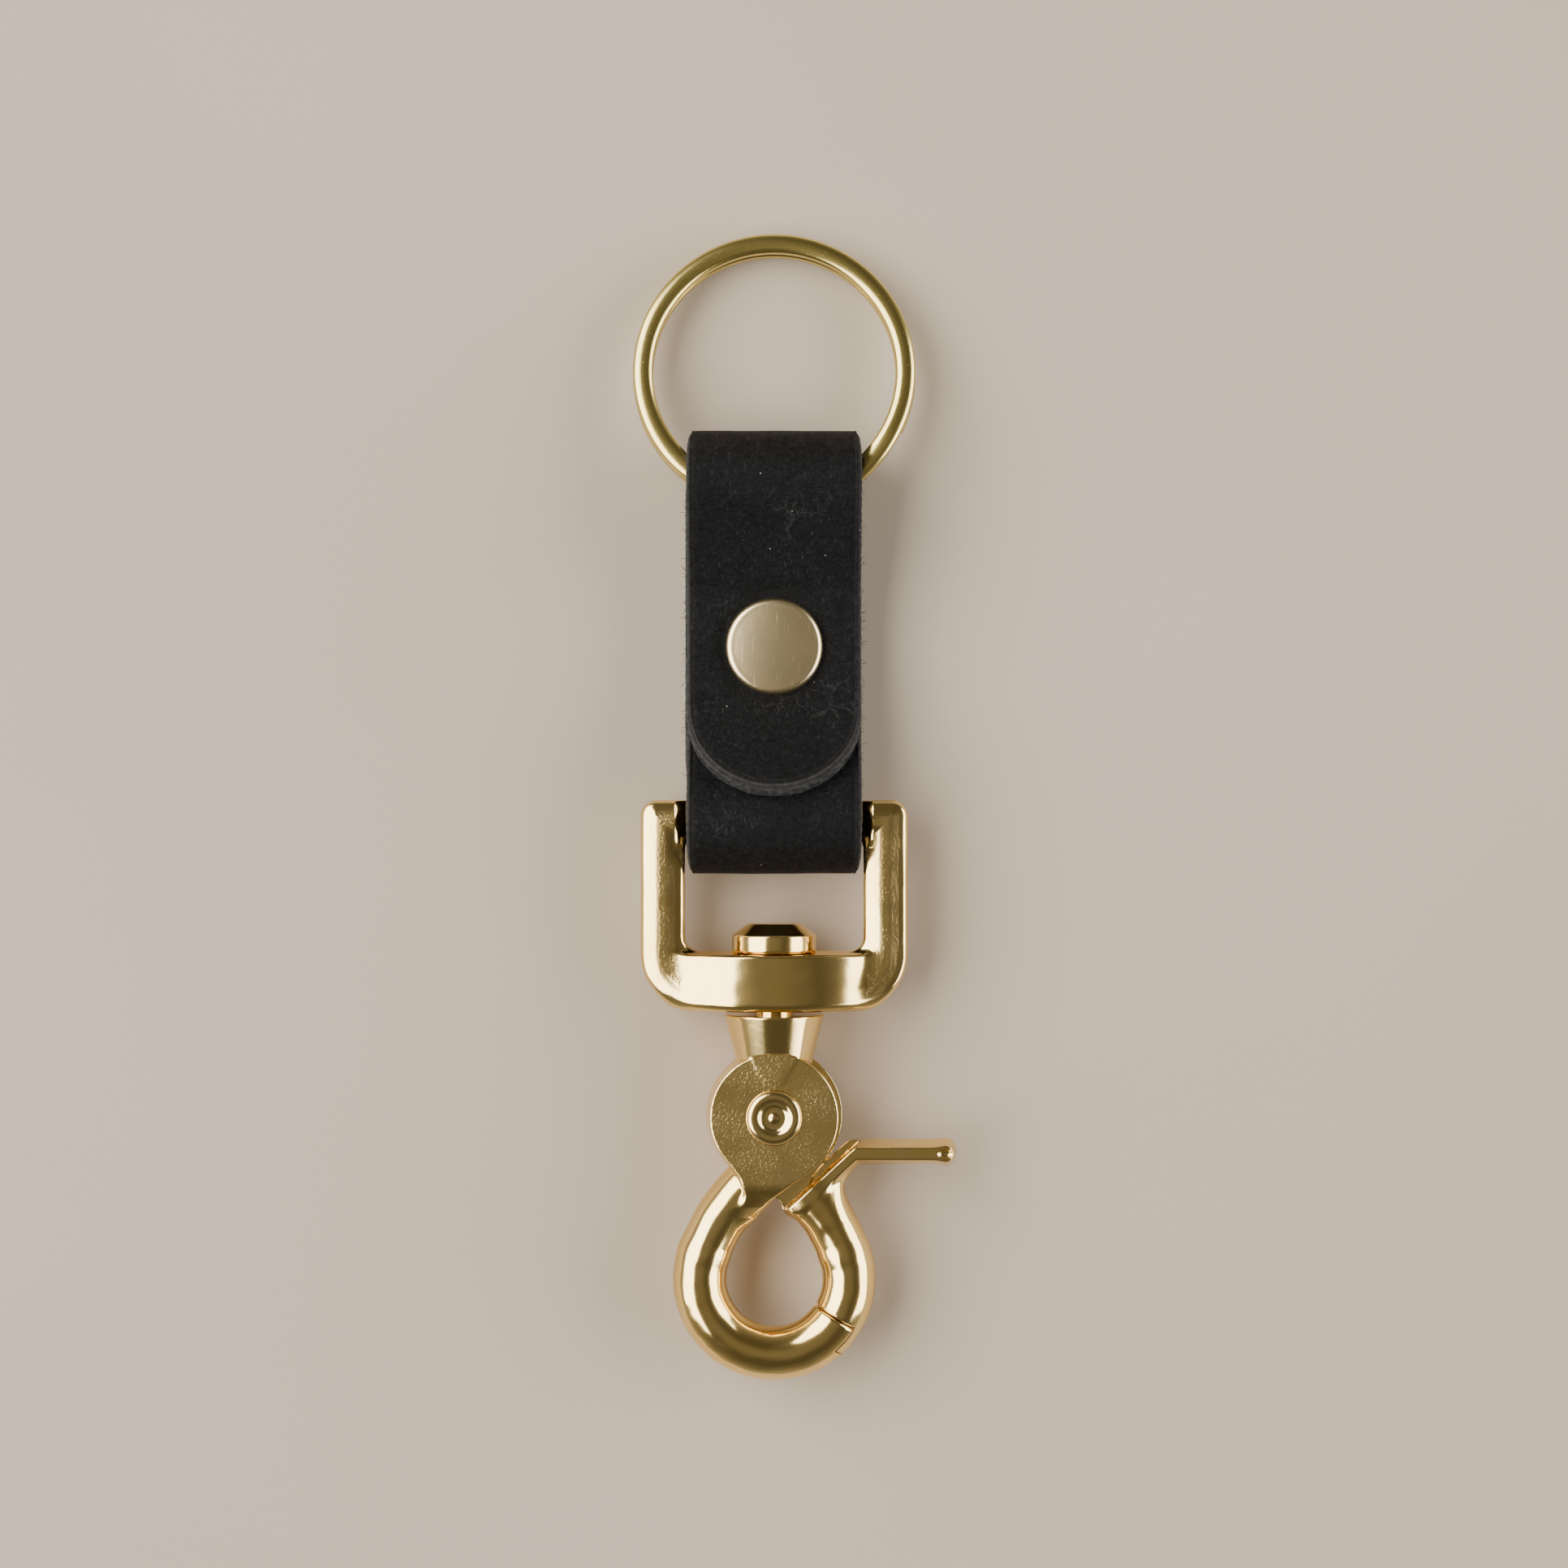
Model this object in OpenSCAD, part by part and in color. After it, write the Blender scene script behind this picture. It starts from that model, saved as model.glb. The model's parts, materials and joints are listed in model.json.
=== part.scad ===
// Short leather key strap: a split key ring in its upper loop, a cast swivel snap in its lower loop.
// The object lies on its back: +X to the right, +Y towards the key ring, +Z up, out of the front.
// Origin: centre of the overall footprint, on the surface that the back of the strap lies on.

/* [Strap] */
// Width of the leather strip
strap_w = 18.8; // [14:0.1:26]
// Thickness of the leather
leather_t = 2.2; // [1.6:0.1:2.8]
// Rivet's centre to the outside of the upper fold
rivet_to_upper_fold = 23.4; // [21:0.1:32]
// Rivet's centre to the outside of the lower fold
rivet_to_lower_fold = 24.6; // [23:0.1:34]
// Rivet's centre to the rounded end of the front flap
rivet_to_flap_end = 16.3; // [12:0.1:17]
// Rivet's centre to the hidden end of the middle layer
rivet_to_inner_end = 7.5; // [6.5:0.1:9]
// Air between two layers of leather
layer_gap = 0.05; // [0.03:0.01:0.1]

/* [Rivet] */
// Diameter of both caps
cap_d = 10.5; // [9:0.1:12]
// Height of both caps
cap_h = 1.45; // [1.3:0.05:2]
// Thickness of the sheet that the caps are drawn from
cap_wall = 0.35; // [0.25:0.05:0.4]
// How deep the front cap is pressed into the leather
cap_sink = 0.25; // [0.1:0.05:0.5]
// Outer diameter of the socket's tube
socket_d = 3.9; // [3.4:0.1:4.6]
// Diameter of the post
post_d = 2.9; // [2.2:0.1:3]
// Thickness of the flanges of post and socket
flange_t = 0.4; // [0.3:0.05:0.5]

/* [Key ring] */
// Outer diameter of the ring
ring_od = 30.8; // [28:0.1:36]
// Width of the wire, measured across the ring
ring_wire_w = 2.2; // [1.8:0.1:2.4]
// Height of one turn of the wire
ring_wire_h = 1.44; // [1.2:0.02:1.5]
// Air between the two turns
ring_turn_gap = 0.06; // [0.04:0.01:0.1]

/* [Swivel frame] */
// Length of the window
window_l = 13.6; // [12.5:0.1:18]
// Width of a side bar
side_bar_w = 4.8; // [4:0.1:6]
// Depth of a side bar, front to back
side_bar_t = 4; // [3.4:0.1:5]
// Diameter of the round bar in the strap's loop
top_bar_d = 3; // [2.4:0.1:3.2]
// Length of the boss along the swivel's axis
boss_l = 6.2; // [5:0.1:8]
// Depth of the boss at its middle, front to back
boss_t = 9.4; // [9:0.1:10.4]
// Radius of the lower outer corners
frame_corner_r = 6.2; // [4:0.1:6.2]

/* [Swivel stud] */
// Diameter of the shank that the frame turns on
shank_d = 4; // [3:0.1:5]
// Diameter of the head inside the window
head_d = 9.2; // [8:0.1:10]
// Height of the head
head_h = 3.2; // [2.4:0.1:3.4]
// Height of the head's sloped part
head_slope = 1.2; // [0.8:0.1:1.6]

/* [Snap body] */
// Radius of the pivot discs
disc_r = 6.9; // [6:0.1:7.6]
// Depth of both discs together, front to back
disc_t = 7; // [6.4:0.1:7.6]
// Diameter of the collar where it faces the frame
collar_d = 10.7; // [9.8:0.1:11.2]
// Diameter of the collar where it runs into the disc
collar_low_d = 8.8; // [8:0.1:9.4]
// Pivot's centre to the collar's upper face
collar_reach = 10.7; // [10:0.1:13]
// Diameter of the hook's round bar
bar_d = 5.8; // [4.8:0.1:6]
// Outer diameter of the hook's loop
loop_od = 22; // [20:0.1:24]
// Pivot's centre to the loop's centre
loop_drop = 17.7; // [17:0.1:20]
// Angle at the loop's centre where hook and gate meet
seam_angle = -31; // [-40:1:-20]
// Width of the slot between a disc and the other part's shoulder
slot_w = 1.4; // [1:0.1:1.8]

/* [Gate] */
// Pivot's centre to the end of the thumb lever
lever_reach = 19.7; // [17:0.1:24]
// Pivot's centre down to the middle of the lever
lever_drop = 4; // [3.6:0.1:4.6]
// Thickness of the lever at its middle and at its edges
lever_t = 2.4; // [2:0.1:3]
lever_edge_t = 1.3; // [1:0.1:1.6]
// Depth of the lever, front to back
lever_w = 4.8; // [4:0.1:5.6]

/* [Pivot] */
// Diameter of the pivot pin
pin_d = 3; // [2.4:0.1:3.4]
// Diameter of the pin's heads
pin_head_d = 6; // [5:0.1:7]
// Height of a head above the disc
pin_head_h = 0.6; // [0.4:0.05:0.8]
// Thickness of the spring's wire
spring_wire_d = 0.6; // [0.5:0.05:0.7]
// Mean radius of the spring's turns
spring_r = 3.3; // [3:0.1:3.6]
// Number of turns
spring_turns = 2.6; // [2:0.1:3]

/* [Fits] */
// Air between an edge of the strap and a side bar of the frame
strap_side_gap = 0.25; // [0.2:0.05:0.6]
// Air round the key ring's wire as it turns in the upper loop
ring_loop_gap = 0.34; // [0.3:0.02:0.8]
// Least air round the frame's bar in the lower loop
bar_loop_gap = 1.6; // [1.5:0.05:2.4]
// Air between the collar and the surface that the object lies on
floor_gap = 0.05; // [0.02:0.01:0.2]
// Radial air of a part that turns on a pin or a shank
run_gap = 0.05; // [0.02:0.01:0.1]
// Air between two faces that slide past each other
face_gap = 0.1; // [0.06:0.01:0.2]
// Air around a part that sweeps past another
sweep_gap = 0.3; // [0.2:0.05:0.5]

/* [Hidden] */
$fn = 96;

// The window takes the strap, and the lower loop is tall enough to hold the collar off the surface.
window_w = strap_w + 2 * strap_side_gap;
bar_loop_d = max(top_bar_d + 2 * bar_loop_gap, collar_d + 2 * floor_gap - 2 * leather_t);

// The key ring's wire bends back towards the strap's edges, and the upper loop takes all of that bend.
ring_mid_r = (ring_od - ring_wire_w) / 2;
ring_in_r = ring_od / 2 - ring_wire_w;
ring_pitch = ring_wire_h + ring_turn_gap;
ring_h = ring_wire_h + ring_pitch;
ring_edge_rise = ring_in_r - sqrt(pow(ring_in_r, 2) - pow(strap_w / 2, 2));
ring_span = ring_wire_w + ring_edge_rise;
ring_loop_d = norm([ring_span, ring_pitch]) + 2 * ring_loop_gap;

// Heights: the snap's axis lies at the middle of the lower loop, the key ring's at that of the upper.
snap_z = leather_t + bar_loop_d / 2;
ring_z = leather_t + ring_loop_d / 2;

// Places along Y, counted from the pivot pin.
collar_gap = 0.6;
boss_low = collar_reach + collar_gap;
boss_high = boss_low + boss_l;
bar_y = boss_high + window_l + top_bar_d / 2;
frame_top = bar_y + top_bar_d / 2;
head_low = boss_high + face_gap;
// The bar sits up the loop, a little off its centre, so that the frame clears the fold.
bar_offset = 1.1;
lower_loop_y = bar_y - bar_offset;
lower_fold = lower_loop_y - bar_loop_d / 2 - leather_t;
rivet_y = lower_fold + rivet_to_lower_fold;
upper_fold = rivet_y + rivet_to_upper_fold;
upper_loop_y = upper_fold - leather_t - ring_loop_d / 2;
loop_low = -loop_drop - loop_od / 2;

// The key ring turns about the middle of its bend, and its far end lies on the surface.
ring_centre = (ring_od - ring_span) / 2;
ring_reach = ring_centre + ring_od / 2;
ring_tilt = asin((ring_z - ring_h / 2 - floor_gap) / ring_reach);
ring_end = upper_loop_y + ring_reach * cos(ring_tilt) + ring_pitch / 2 * sin(ring_tilt);

// The origin: middle of the footprint.
axis_x = -(lever_reach - ring_od / 2) / 2;
pin_y = -(ring_end + loop_low) / 2;

// Layers of leather at the rivet, from the back.
middle_low = leather_t + layer_gap;
flap_low = 2 * middle_low;
strap_top = flap_low + leather_t;
front_cap_low = strap_top - cap_sink;

// ---------------------------------------------------------------- helpers

// Points of an arc round c with radius r, from angle a to angle b.
function arc(c, r, a, b, steps = 16) =
    [for (i = [0 : steps]) let (t = a + (b - a) * i / steps) [c[0] + r * cos(t), c[1] + r * sin(t)]];

// Slope of a line that leaves a flat at distance run, and touches a circle of radius r at height rise.
function leave_angle(run, rise, r) = asin(r / sqrt(run * run + rise * rise)) + atan2(rise, run);

// Places a piece that is drawn with its pivot pin at the origin and the snap's axis in its middle plane.
module at_snap() {
    translate([axis_x, pin_y, snap_z]) children();
}

// Places a piece that is drawn round the rivet's axis, with the surface under the strap at height 0.
module at_rivet() {
    translate([axis_x, pin_y + rivet_y, 0]) children();
}

// Stands a flat YZ outline up as a slab of width w, centred on X = 0.
module slab_x(w) {
    rotate([90, 0, 90])
        translate([0, 0, -w / 2])
            linear_extrude(w) children();
}

// ---------------------------------------------------------------- strap

// Where the flap starts to rise towards the upper loop, and where the two front layers rise over the bar.
upper_bend_y = rivet_y + cap_d / 2 + 1.3;
lower_bend_y = rivet_y - cap_d / 2 - 0.4;
upper_slope = leave_angle(upper_loop_y - upper_bend_y, ring_z - flap_low, ring_loop_d / 2);
lower_slope = leave_angle(lower_bend_y - lower_loop_y, snap_z - middle_low, bar_loop_d / 2);
inner_end_y = rivet_y + rivet_to_inner_end;
flap_bend = over_bar(middle_low);
flap_run = (flap_bend[0] - rivet_y + rivet_to_flap_end) / cos(lower_slope);
// The flap's end on its underside, and the same end on its front, square to the flap.
flap_tip = flap_bend + flap_run * [-cos(lower_slope), sin(lower_slope)];
flap_tip_front = flap_tip + leather_t * [sin(lower_slope), cos(lower_slope)];

// Inner and outer surface of one loop, from the back layer round the fold to the sloping front.
function upper_loop(r) = arc([upper_loop_y, ring_z], r, -90, 90 + upper_slope, 24);
function lower_loop(r) = arc([lower_loop_y, snap_z], r, -90, -270 - lower_slope, 24);

// Corner of the bend where the front layers start to rise: d is the height above the middle layer's back.
function over_bar(d) = [lower_bend_y + d * tan(lower_slope / 2), middle_low + d];

// One strip from the flap's end, round the key ring, along the back, round the bar, to its hidden end.
module strap_profile() {
    polygon(concat(
        [flap_tip, flap_bend, [upper_bend_y, flap_low]],
        [for (i = [24 : -1 : 0]) upper_loop(ring_loop_d / 2)[i]],
        lower_loop(bar_loop_d / 2),
        [over_bar(0), [inner_end_y, middle_low], [inner_end_y, middle_low + leather_t], over_bar(leather_t)],
        [for (i = [24 : -1 : 0]) lower_loop(bar_loop_d / 2 + leather_t)[i]],
        upper_loop(ring_loop_d / 2 + leather_t),
        [[upper_bend_y - leather_t * tan(upper_slope / 2), strap_top], over_bar(strap_top - middle_low)],
        [flap_tip_front]
    ));
}

// What is cut off the flap so that its end is a half circle, in the flap's own sloping plane.
module flap_end_cut() {
    r = strap_w / 2;
    translate([0, flap_tip[0], flap_tip[1]])
        rotate([-lower_slope, 0, 0])
            translate([0, 0, -layer_gap / 2])
                linear_extrude(2 * leather_t)
                    difference() {
                        translate([-strap_w, -strap_w]) square([2 * strap_w, strap_w + r]);
                        translate([0, r]) circle(r);
                    }
}

module strap() {
    color("#1c1c1e")
        translate([axis_x, pin_y, 0])
            difference() {
                slab_x(strap_w) strap_profile();
                flap_end_cut();
                translate([0, rivet_y, -1]) cylinder(h = strap_top + 2, d = socket_d + 2 * run_gap);
                translate([0, rivet_y, -1]) cylinder(h = 1 + cap_h + run_gap, d = cap_d + 2 * run_gap);
                translate([0, rivet_y, front_cap_low - run_gap]) cylinder(h = cap_h, d = cap_d + 2 * run_gap);
            }
}

// ---------------------------------------------------------------- rivet

// A drawn cap, open below: flat top, rounded edge, thin wall.
module cap_shell() {
    edge_r = 0.8;
    r = cap_d / 2;
    rotate_extrude()
        difference() {
            union() {
                square([r, cap_h - edge_r]);
                square([r - edge_r, cap_h]);
                translate([r - edge_r, cap_h - edge_r]) circle(edge_r);
            }
            translate([-1, -1]) square([r - cap_wall + 1, 1 + cap_h - cap_wall - (edge_r - cap_wall)]);
            translate([-1, -1]) square([r - edge_r + 1, 1 + cap_h - cap_wall]);
            translate([-1, -1]) square([1, cap_h + 2]);
        }
}

flange_r = cap_d / 2 - cap_wall - run_gap;

module rivet_front_cap() {
    color("#e3cf9b") at_rivet() translate([0, 0, front_cap_low]) cap_shell();
}

// The flange lies on the leather inside the cap, and the tube reaches down through the layers.
module rivet_socket() {
    tube_low = cap_h + 0.4;
    color("#c9b27a")
        at_rivet()
            difference() {
                union() {
                    translate([0, 0, front_cap_low]) cylinder(h = flange_t, r = flange_r);
                    translate([0, 0, tube_low]) cylinder(h = front_cap_low - tube_low + flange_t, d = socket_d);
                }
                translate([0, 0, tube_low - 1])
                    cylinder(h = front_cap_low - tube_low + flange_t + 2, d = post_d + 2 * run_gap);
            }
}

// The post stands on its flange in the back cap and grips in the socket.
module rivet_post() {
    flange_low = cap_h - flange_t;
    post_high = front_cap_low + flange_t;
    tip = 0.5;
    color("#c9b27a")
        at_rivet() {
            translate([0, 0, flange_low]) cylinder(h = flange_t, r = flange_r);
            translate([0, 0, flange_low]) cylinder(h = post_high - tip - flange_low, d = post_d);
            translate([0, 0, post_high - tip]) cylinder(h = tip, d1 = post_d, d2 = post_d - 2 * tip);
        }
}

module rivet_back_cap() {
    color("#e3cf9b") at_rivet() translate([0, 0, cap_h]) rotate([180, 0, 0]) cap_shell();
}

// ---------------------------------------------------------------- key ring

// The wire starts low, climbs at the jog and ends high, just before it meets its own start.
ring_jog = 22;
ring_step = 9;
ring_jog_at = -48;
wire_sides = 12;
function smooth(t) = t <= 0 ? 0 : t >= 1 ? 1 : t * t * (3 - 2 * t);
function wire_z(a) = ring_pitch * (smooth((a - 360 + ring_jog) / (2 * ring_jog)) - 0.5);
// A flattened round section: the power under 1 makes it fuller than an ellipse.
function full(t) = sign(t) * pow(abs(t), 0.7);
function wire_ring(a) = [for (k = [0 : wire_sides - 1])
    let (s = k * 360 / wire_sides, r = ring_mid_r + ring_wire_w / 2 * full(cos(s)))
    [r * cos(a + ring_jog_at), r * sin(a + ring_jog_at), wire_z(a) + ring_wire_h / 2 * full(sin(s))]];

// Faces of a closed tube of n rings with m points each.
function tube_faces(n, m) = concat(
    [[for (k = [0 : m - 1]) k]],
    [for (i = [0 : n - 2], k = [0 : m - 1])
        [i * m + k, (i + 1) * m + k, (i + 1) * m + (k + 1) % m, i * m + (k + 1) % m]],
    [[for (k = [m - 1 : -1 : 0]) (n - 1) * m + k]]);

module key_ring() {
    first = ring_jog + 1;
    last = 720 - ring_jog - 1;
    steps = round((last - first) / ring_step);
    rings = [for (i = [0 : steps]) wire_ring(first + (last - first) * i / steps)];
    color("#b8a24a")
        translate([axis_x, pin_y + upper_loop_y, ring_z])
            rotate([-ring_tilt, 0, 0])
                translate([0, ring_centre, 0])
                    polyhedron(points = [for (ring = rings) each ring],
                               faces = tube_faces(steps + 1, wire_sides), convexity = 8);
}

// ---------------------------------------------------------------- swivel frame

frame_w = window_w + 2 * side_bar_w;
top_corner_r = 1.7;

// Front outline: small upper corners, large lower ones.
module frame_outline() {
    r = frame_corner_r;
    q = top_corner_r;
    w = frame_w / 2;
    square_low = boss_low + r;
    translate([-w, square_low]) square([2 * w, frame_top - q - square_low]);
    translate([-w + r, boss_low]) square([2 * (w - r), frame_top - boss_low]);
    for (side = [-1, 1]) {
        translate([side * (w - r), square_low]) circle(r);
        translate([side * (w - q), frame_top - q]) circle(q);
        translate([side * (w - (q + r) / 2) - (r - q) / 2, frame_top - 2 * q]) square([r - q, 2 * q]);
    }
}

// A side bar's section: flat front and back with round sides.
module side_bar_section() {
    r = side_bar_t / 2;
    flat = side_bar_w - side_bar_t;
    translate([-flat / 2, -r]) square([flat, 2 * r]);
    for (side = [-1, 1]) translate([side * flat / 2, 0]) circle(r);
}

// The boss bulges in the middle: two wide arcs that meet the side bars' depth at its ends.
module boss_lens() {
    half_w = frame_w / 2;
    bulge = (boss_t - side_bar_t) / 2;
    r = (half_w * half_w + bulge * bulge) / (2 * bulge);
    intersection() {
        translate([0, boss_t / 2 - r]) circle(r, $fn = 256);
        translate([0, r - boss_t / 2]) circle(r, $fn = 256);
    }
}

module swivel_frame() {
    color("#c8a95c")
        at_snap()
            difference() {
                intersection() {
                    linear_extrude(2 * boss_t, center = true) frame_outline();
                    union() {
                        translate([0, boss_high, 0])
                            rotate([90, 0, 0]) linear_extrude(boss_l + 1) boss_lens();
                        for (side = [-1, 1])
                            translate([side * (window_w + side_bar_w) / 2, boss_low + boss_l / 2, 0])
                                rotate([-90, 0, 0]) linear_extrude(frame_top - boss_low) side_bar_section();
                        translate([0, bar_y, 0])
                            rotate([0, 90, 0]) cylinder(h = window_w + side_bar_w, d = top_bar_d, center = true);
                    }
                }
                translate([0, boss_low - 1, 0])
                    rotate([-90, 0, 0]) cylinder(h = boss_l + 2, d = shank_d + 2 * run_gap);
            }
}

// ---------------------------------------------------------------- swivel stud

shank_low = collar_reach - 3;

// A turned head inside the window; its shank runs through the boss and is set in the collar.
module swivel_stud() {
    color("#c8a95c")
        at_snap()
            translate([0, shank_low, 0])
                rotate([-90, 0, 0]) {
                    cylinder(h = head_low - shank_low + 0.5, d = shank_d);
                    translate([0, 0, head_low - shank_low]) cylinder(h = head_h - head_slope, d = head_d);
                    translate([0, 0, head_low - shank_low + head_h - head_slope])
                        cylinder(h = head_slope, d1 = head_d, d2 = head_d - 3 * head_slope);
                }
}

// ---------------------------------------------------------------- hook and gate

half_t = disc_t / 2;
arm_r = (loop_od - bar_d) / 2;
// The arm leaves the loop's circle at this angle, on a wider arc that leads it to the pivot.
leave_at = 160;
lead_r = 20;
lead_sweep = 29;
plane_angle = -132.5;
plane_reach = disc_r + slot_w;

// The round bar from the seam, round the bottom, up the left side and over to the pivot.
module arm(seam) {
    translate([0, -loop_drop, 0])
        rotate([0, 0, leave_at])
            rotate_extrude(angle = 360 + seam - leave_at)
                translate([arm_r, 0]) circle(d = bar_d);
    lead_in();
}

// The wider arc that carries the bar from the loop up to the pivot, a hair slimmer where it runs into the loop.
module lead_in() {
    shift = (lead_r - arm_r) * [-cos(leave_at), -sin(leave_at)];
    overlap = 2;
    translate([shift[0], shift[1] - loop_drop, 0])
        rotate([0, 0, leave_at - lead_sweep])
            rotate_extrude(angle = lead_sweep + overlap)
                translate([lead_r, 0]) circle(d = bar_d - 0.1);
}

// Outline of a pivot disc with its tail, that runs out over the arm on the left.
module disc_outline() {
    touch = 52;
    tail_end = [-2.9, -10.6];
    circle(disc_r);
    polygon([
        [0, 0],
        disc_r * [cos(touch), -sin(touch)],
        tail_end,
        [-3.1, -8],
        [-4.7, -5],
        disc_r * [-cos(25), -sin(25)]
    ]);
}

// The spring's pocket in each disc, and the hole beyond it that one of its ends stands in.
pocket_d = 1.25;
pocket_r = spring_r + spring_wire_d / 2 + 0.35;
leg_reach = 0.9;
spring_h = spring_wire_d * (spring_turns + 1) + 0.04 * spring_turns;

// A plate from just in front of the parting plane to the front face.
module front_half() {
    translate([0, 0, face_gap / 2])
        linear_extrude(half_t - face_gap / 2) children();
}

// Everything on the pivot's side of the shoulder plane, behind the parting plane.
module shoulder_cut() {
    size = 60;
    translate([0, 0, face_gap / 2 - size])
        linear_extrude(size)
            difference() {
                union() {
                    circle(disc_r + sweep_gap);
                    rotate([0, 0, plane_angle])
                        translate([plane_reach - size, -size / 2]) square([size, size]);
                }
                translate([-size, disc_r + sweep_gap]) square(2 * size);
            }
}

// A ring-shaped pocket round a hub, with a hole for the spring's end at one side.
module pocket(leg_angle) {
    hub_r = pin_d / 2 + 0.9;
    difference() {
        translate([0, 0, -1]) cylinder(h = 1 + pocket_d, r = pocket_r);
        translate([0, 0, -2]) cylinder(h = 3 + pocket_d, r = hub_r);
    }
    rotate([0, 0, leg_angle])
        translate([spring_r, 0, 0]) cylinder(h = pocket_d + leg_reach + 0.3, d = spring_wire_d + 0.2, $fn = 24);
}

// The cone between the frame and the disc, that runs on into the disc.
module collar() {
    inside_disc = 2;
    length = collar_reach - inside_disc;
    slope = (collar_d - collar_low_d) / (collar_reach - disc_r);
    translate([0, inside_disc, 0])
        rotate([-90, 0, 0]) cylinder(h = length, d1 = collar_d - slope * length, d2 = collar_d);
}

module hook_body() {
    color("#c8a95c")
        at_snap()
            difference() {
                union() {
                    difference() {
                        union() {
                            arm(seam_angle - seam_half);
                            collar();
                        }
                        shoulder_cut();
                        // The flat that the pivot disc's face lies in.
                        translate([0, 0, half_t]) cylinder(h = collar_d, r = disc_r);
                    }
                    front_half() disc_outline();
                }
                translate([0, 0, -1]) cylinder(h = disc_t, d = pin_d);
                pocket(spring_end_angle);
                translate([0, shank_low, 0]) rotate([-90, 0, 0]) cylinder(h = 20, d = shank_d);
            }
}

// Half the angle of the seam's gap, seen from the loop's centre.
seam_half = asin(face_gap / arm_r);

// The gate's own arm: short, from the seam up the right side.
module gate_arm() {
    from = seam_angle + seam_half;
    translate([0, -loop_drop, 0])
        rotate([0, 0, from])
            rotate_extrude(angle = 180 - leave_at - from)
                translate([arm_r, 0]) circle(d = bar_d);
    mirror([1, 0, 0]) lead_in();
}

// The shoulder's block, which joins the arm and the thumb lever: its upper edge is cut along the slot.
module shoulder() {
    // Two points on the arm: near the opening's upper corner, and at the waist below the lever.
    inside = (plane_reach + 1.5) * [0.13, -1];
    waist = [plane_reach - 1, -lever_drop - 5];
    linear_extrude(lever_w, center = true)
        polygon([
            inside,
            plane_reach * [0.3, -0.9],
            [plane_reach - 0.5, lever_t / 2 - lever_drop],
            [plane_reach + 1.2, lever_t / 2 - lever_drop],
            [plane_reach + 1.2, -lever_drop - lever_t / 2],
            [plane_reach - 0.8, -lever_drop - 2.8],
            waist,
            waist + [0.3, -2.4],
            waist + [-2.5, -3]
        ]);
}

// A blade that is thickest in its middle plane.
module lever() {
    m = lever_t / 2;
    e = lever_edge_t / 2;
    d = lever_w / 2;
    root = plane_reach - 2;
    translate([root, -lever_drop, 0])
        rotate([90, 0, 90])
            linear_extrude(lever_reach - root)
                polygon([[e, d], [m, 0], [e, -d], [-e, -d], [-m, 0], [-e, d]]);
}

module gate() {
    color("#c8a95c")
        at_snap()
            difference() {
                union() {
                    difference() {
                        union() {
                            gate_arm();
                            shoulder();
                            lever();
                        }
                        rotate([0, 180, 0]) shoulder_cut();
                    }
                    rotate([0, 180, 0]) front_half() disc_outline();
                }
                translate([0, 0, -disc_t]) cylinder(h = 2 * disc_t, d = pin_d + 2 * run_gap);
                rotate([0, 180, 0]) pocket(180 - spring_start_angle);
            }
}

// ---------------------------------------------------------------- pivot

// A domed head with a round dimple in its middle.
module pin_head() {
    r = pin_head_d / 2;
    dome_r = (r * r + pin_head_h * pin_head_h) / (2 * pin_head_h);
    dimple_r = 2.6;
    dimple_deep = 0.35;
    rotate_extrude()
        intersection() {
            difference() {
                translate([0, pin_head_h - dome_r]) circle(dome_r, $fn = 256);
                translate([0, pin_head_h + dimple_r - dimple_deep]) circle(dimple_r);
            }
            square([r, pin_head_h]);
        }
}

module pivot_pin() {
    color("#d2b76c")
        at_snap() {
            translate([0, 0, -half_t - run_gap]) cylinder(h = disc_t + run_gap, d = pin_d);
            translate([0, 0, half_t]) pin_head();
            translate([0, 0, -half_t - run_gap]) rotate([180, 0, 0]) pin_head();
        }
}

spring_start_angle = 200;
spring_end_angle = spring_start_angle + 360 * spring_turns;

// A torsion spring: both ends stand up along the pin, in a hole of each disc.
module gate_spring() {
    sides = 8;
    steps = 44;
    rise = spring_h / 2 - spring_wire_d / 2;
    leg = pocket_d + leg_reach;
    turn = [for (i = [0 : steps])
        let (t = i / steps, a = spring_start_angle + 360 * spring_turns * t)
        [spring_r * cos(a), spring_r * sin(a), rise * (2 * t - 1)]];
    start = [turn[0][0], turn[0][1], -leg];
    finish = [turn[steps][0], turn[steps][1], leg];
    path = concat([start], turn, [finish]);
    n = len(path);
    rings = [for (i = [0 : n - 1])
        let (
            before = path[max(i - 1, 0)],
            after = path[min(i + 1, n - 1)],
            along = (after - before) / norm(after - before),
            out = [path[i][0], path[i][1], 0] / spring_r,
            side = cross(along, out),
            up = cross(side, along)
        )
        [for (k = [0 : sides - 1])
            path[i] + spring_wire_d / 2 * (cos(k * 360 / sides) * up + sin(k * 360 / sides) * side / norm(side))]];
    color("#8c8f92")
        at_snap()
            polyhedron(points = [for (ring = rings) each ring], faces = tube_faces(n, sides), convexity = 8);
}

strap();
rivet_front_cap();
rivet_socket();
rivet_post();
rivet_back_cap();
key_ring();
swivel_frame();
swivel_stud();
hook_body();
gate();
pivot_pin();
gate_spring();
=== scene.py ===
import json
import math

import bpy
import numpy as np
from mathutils import Matrix, Vector


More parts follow.
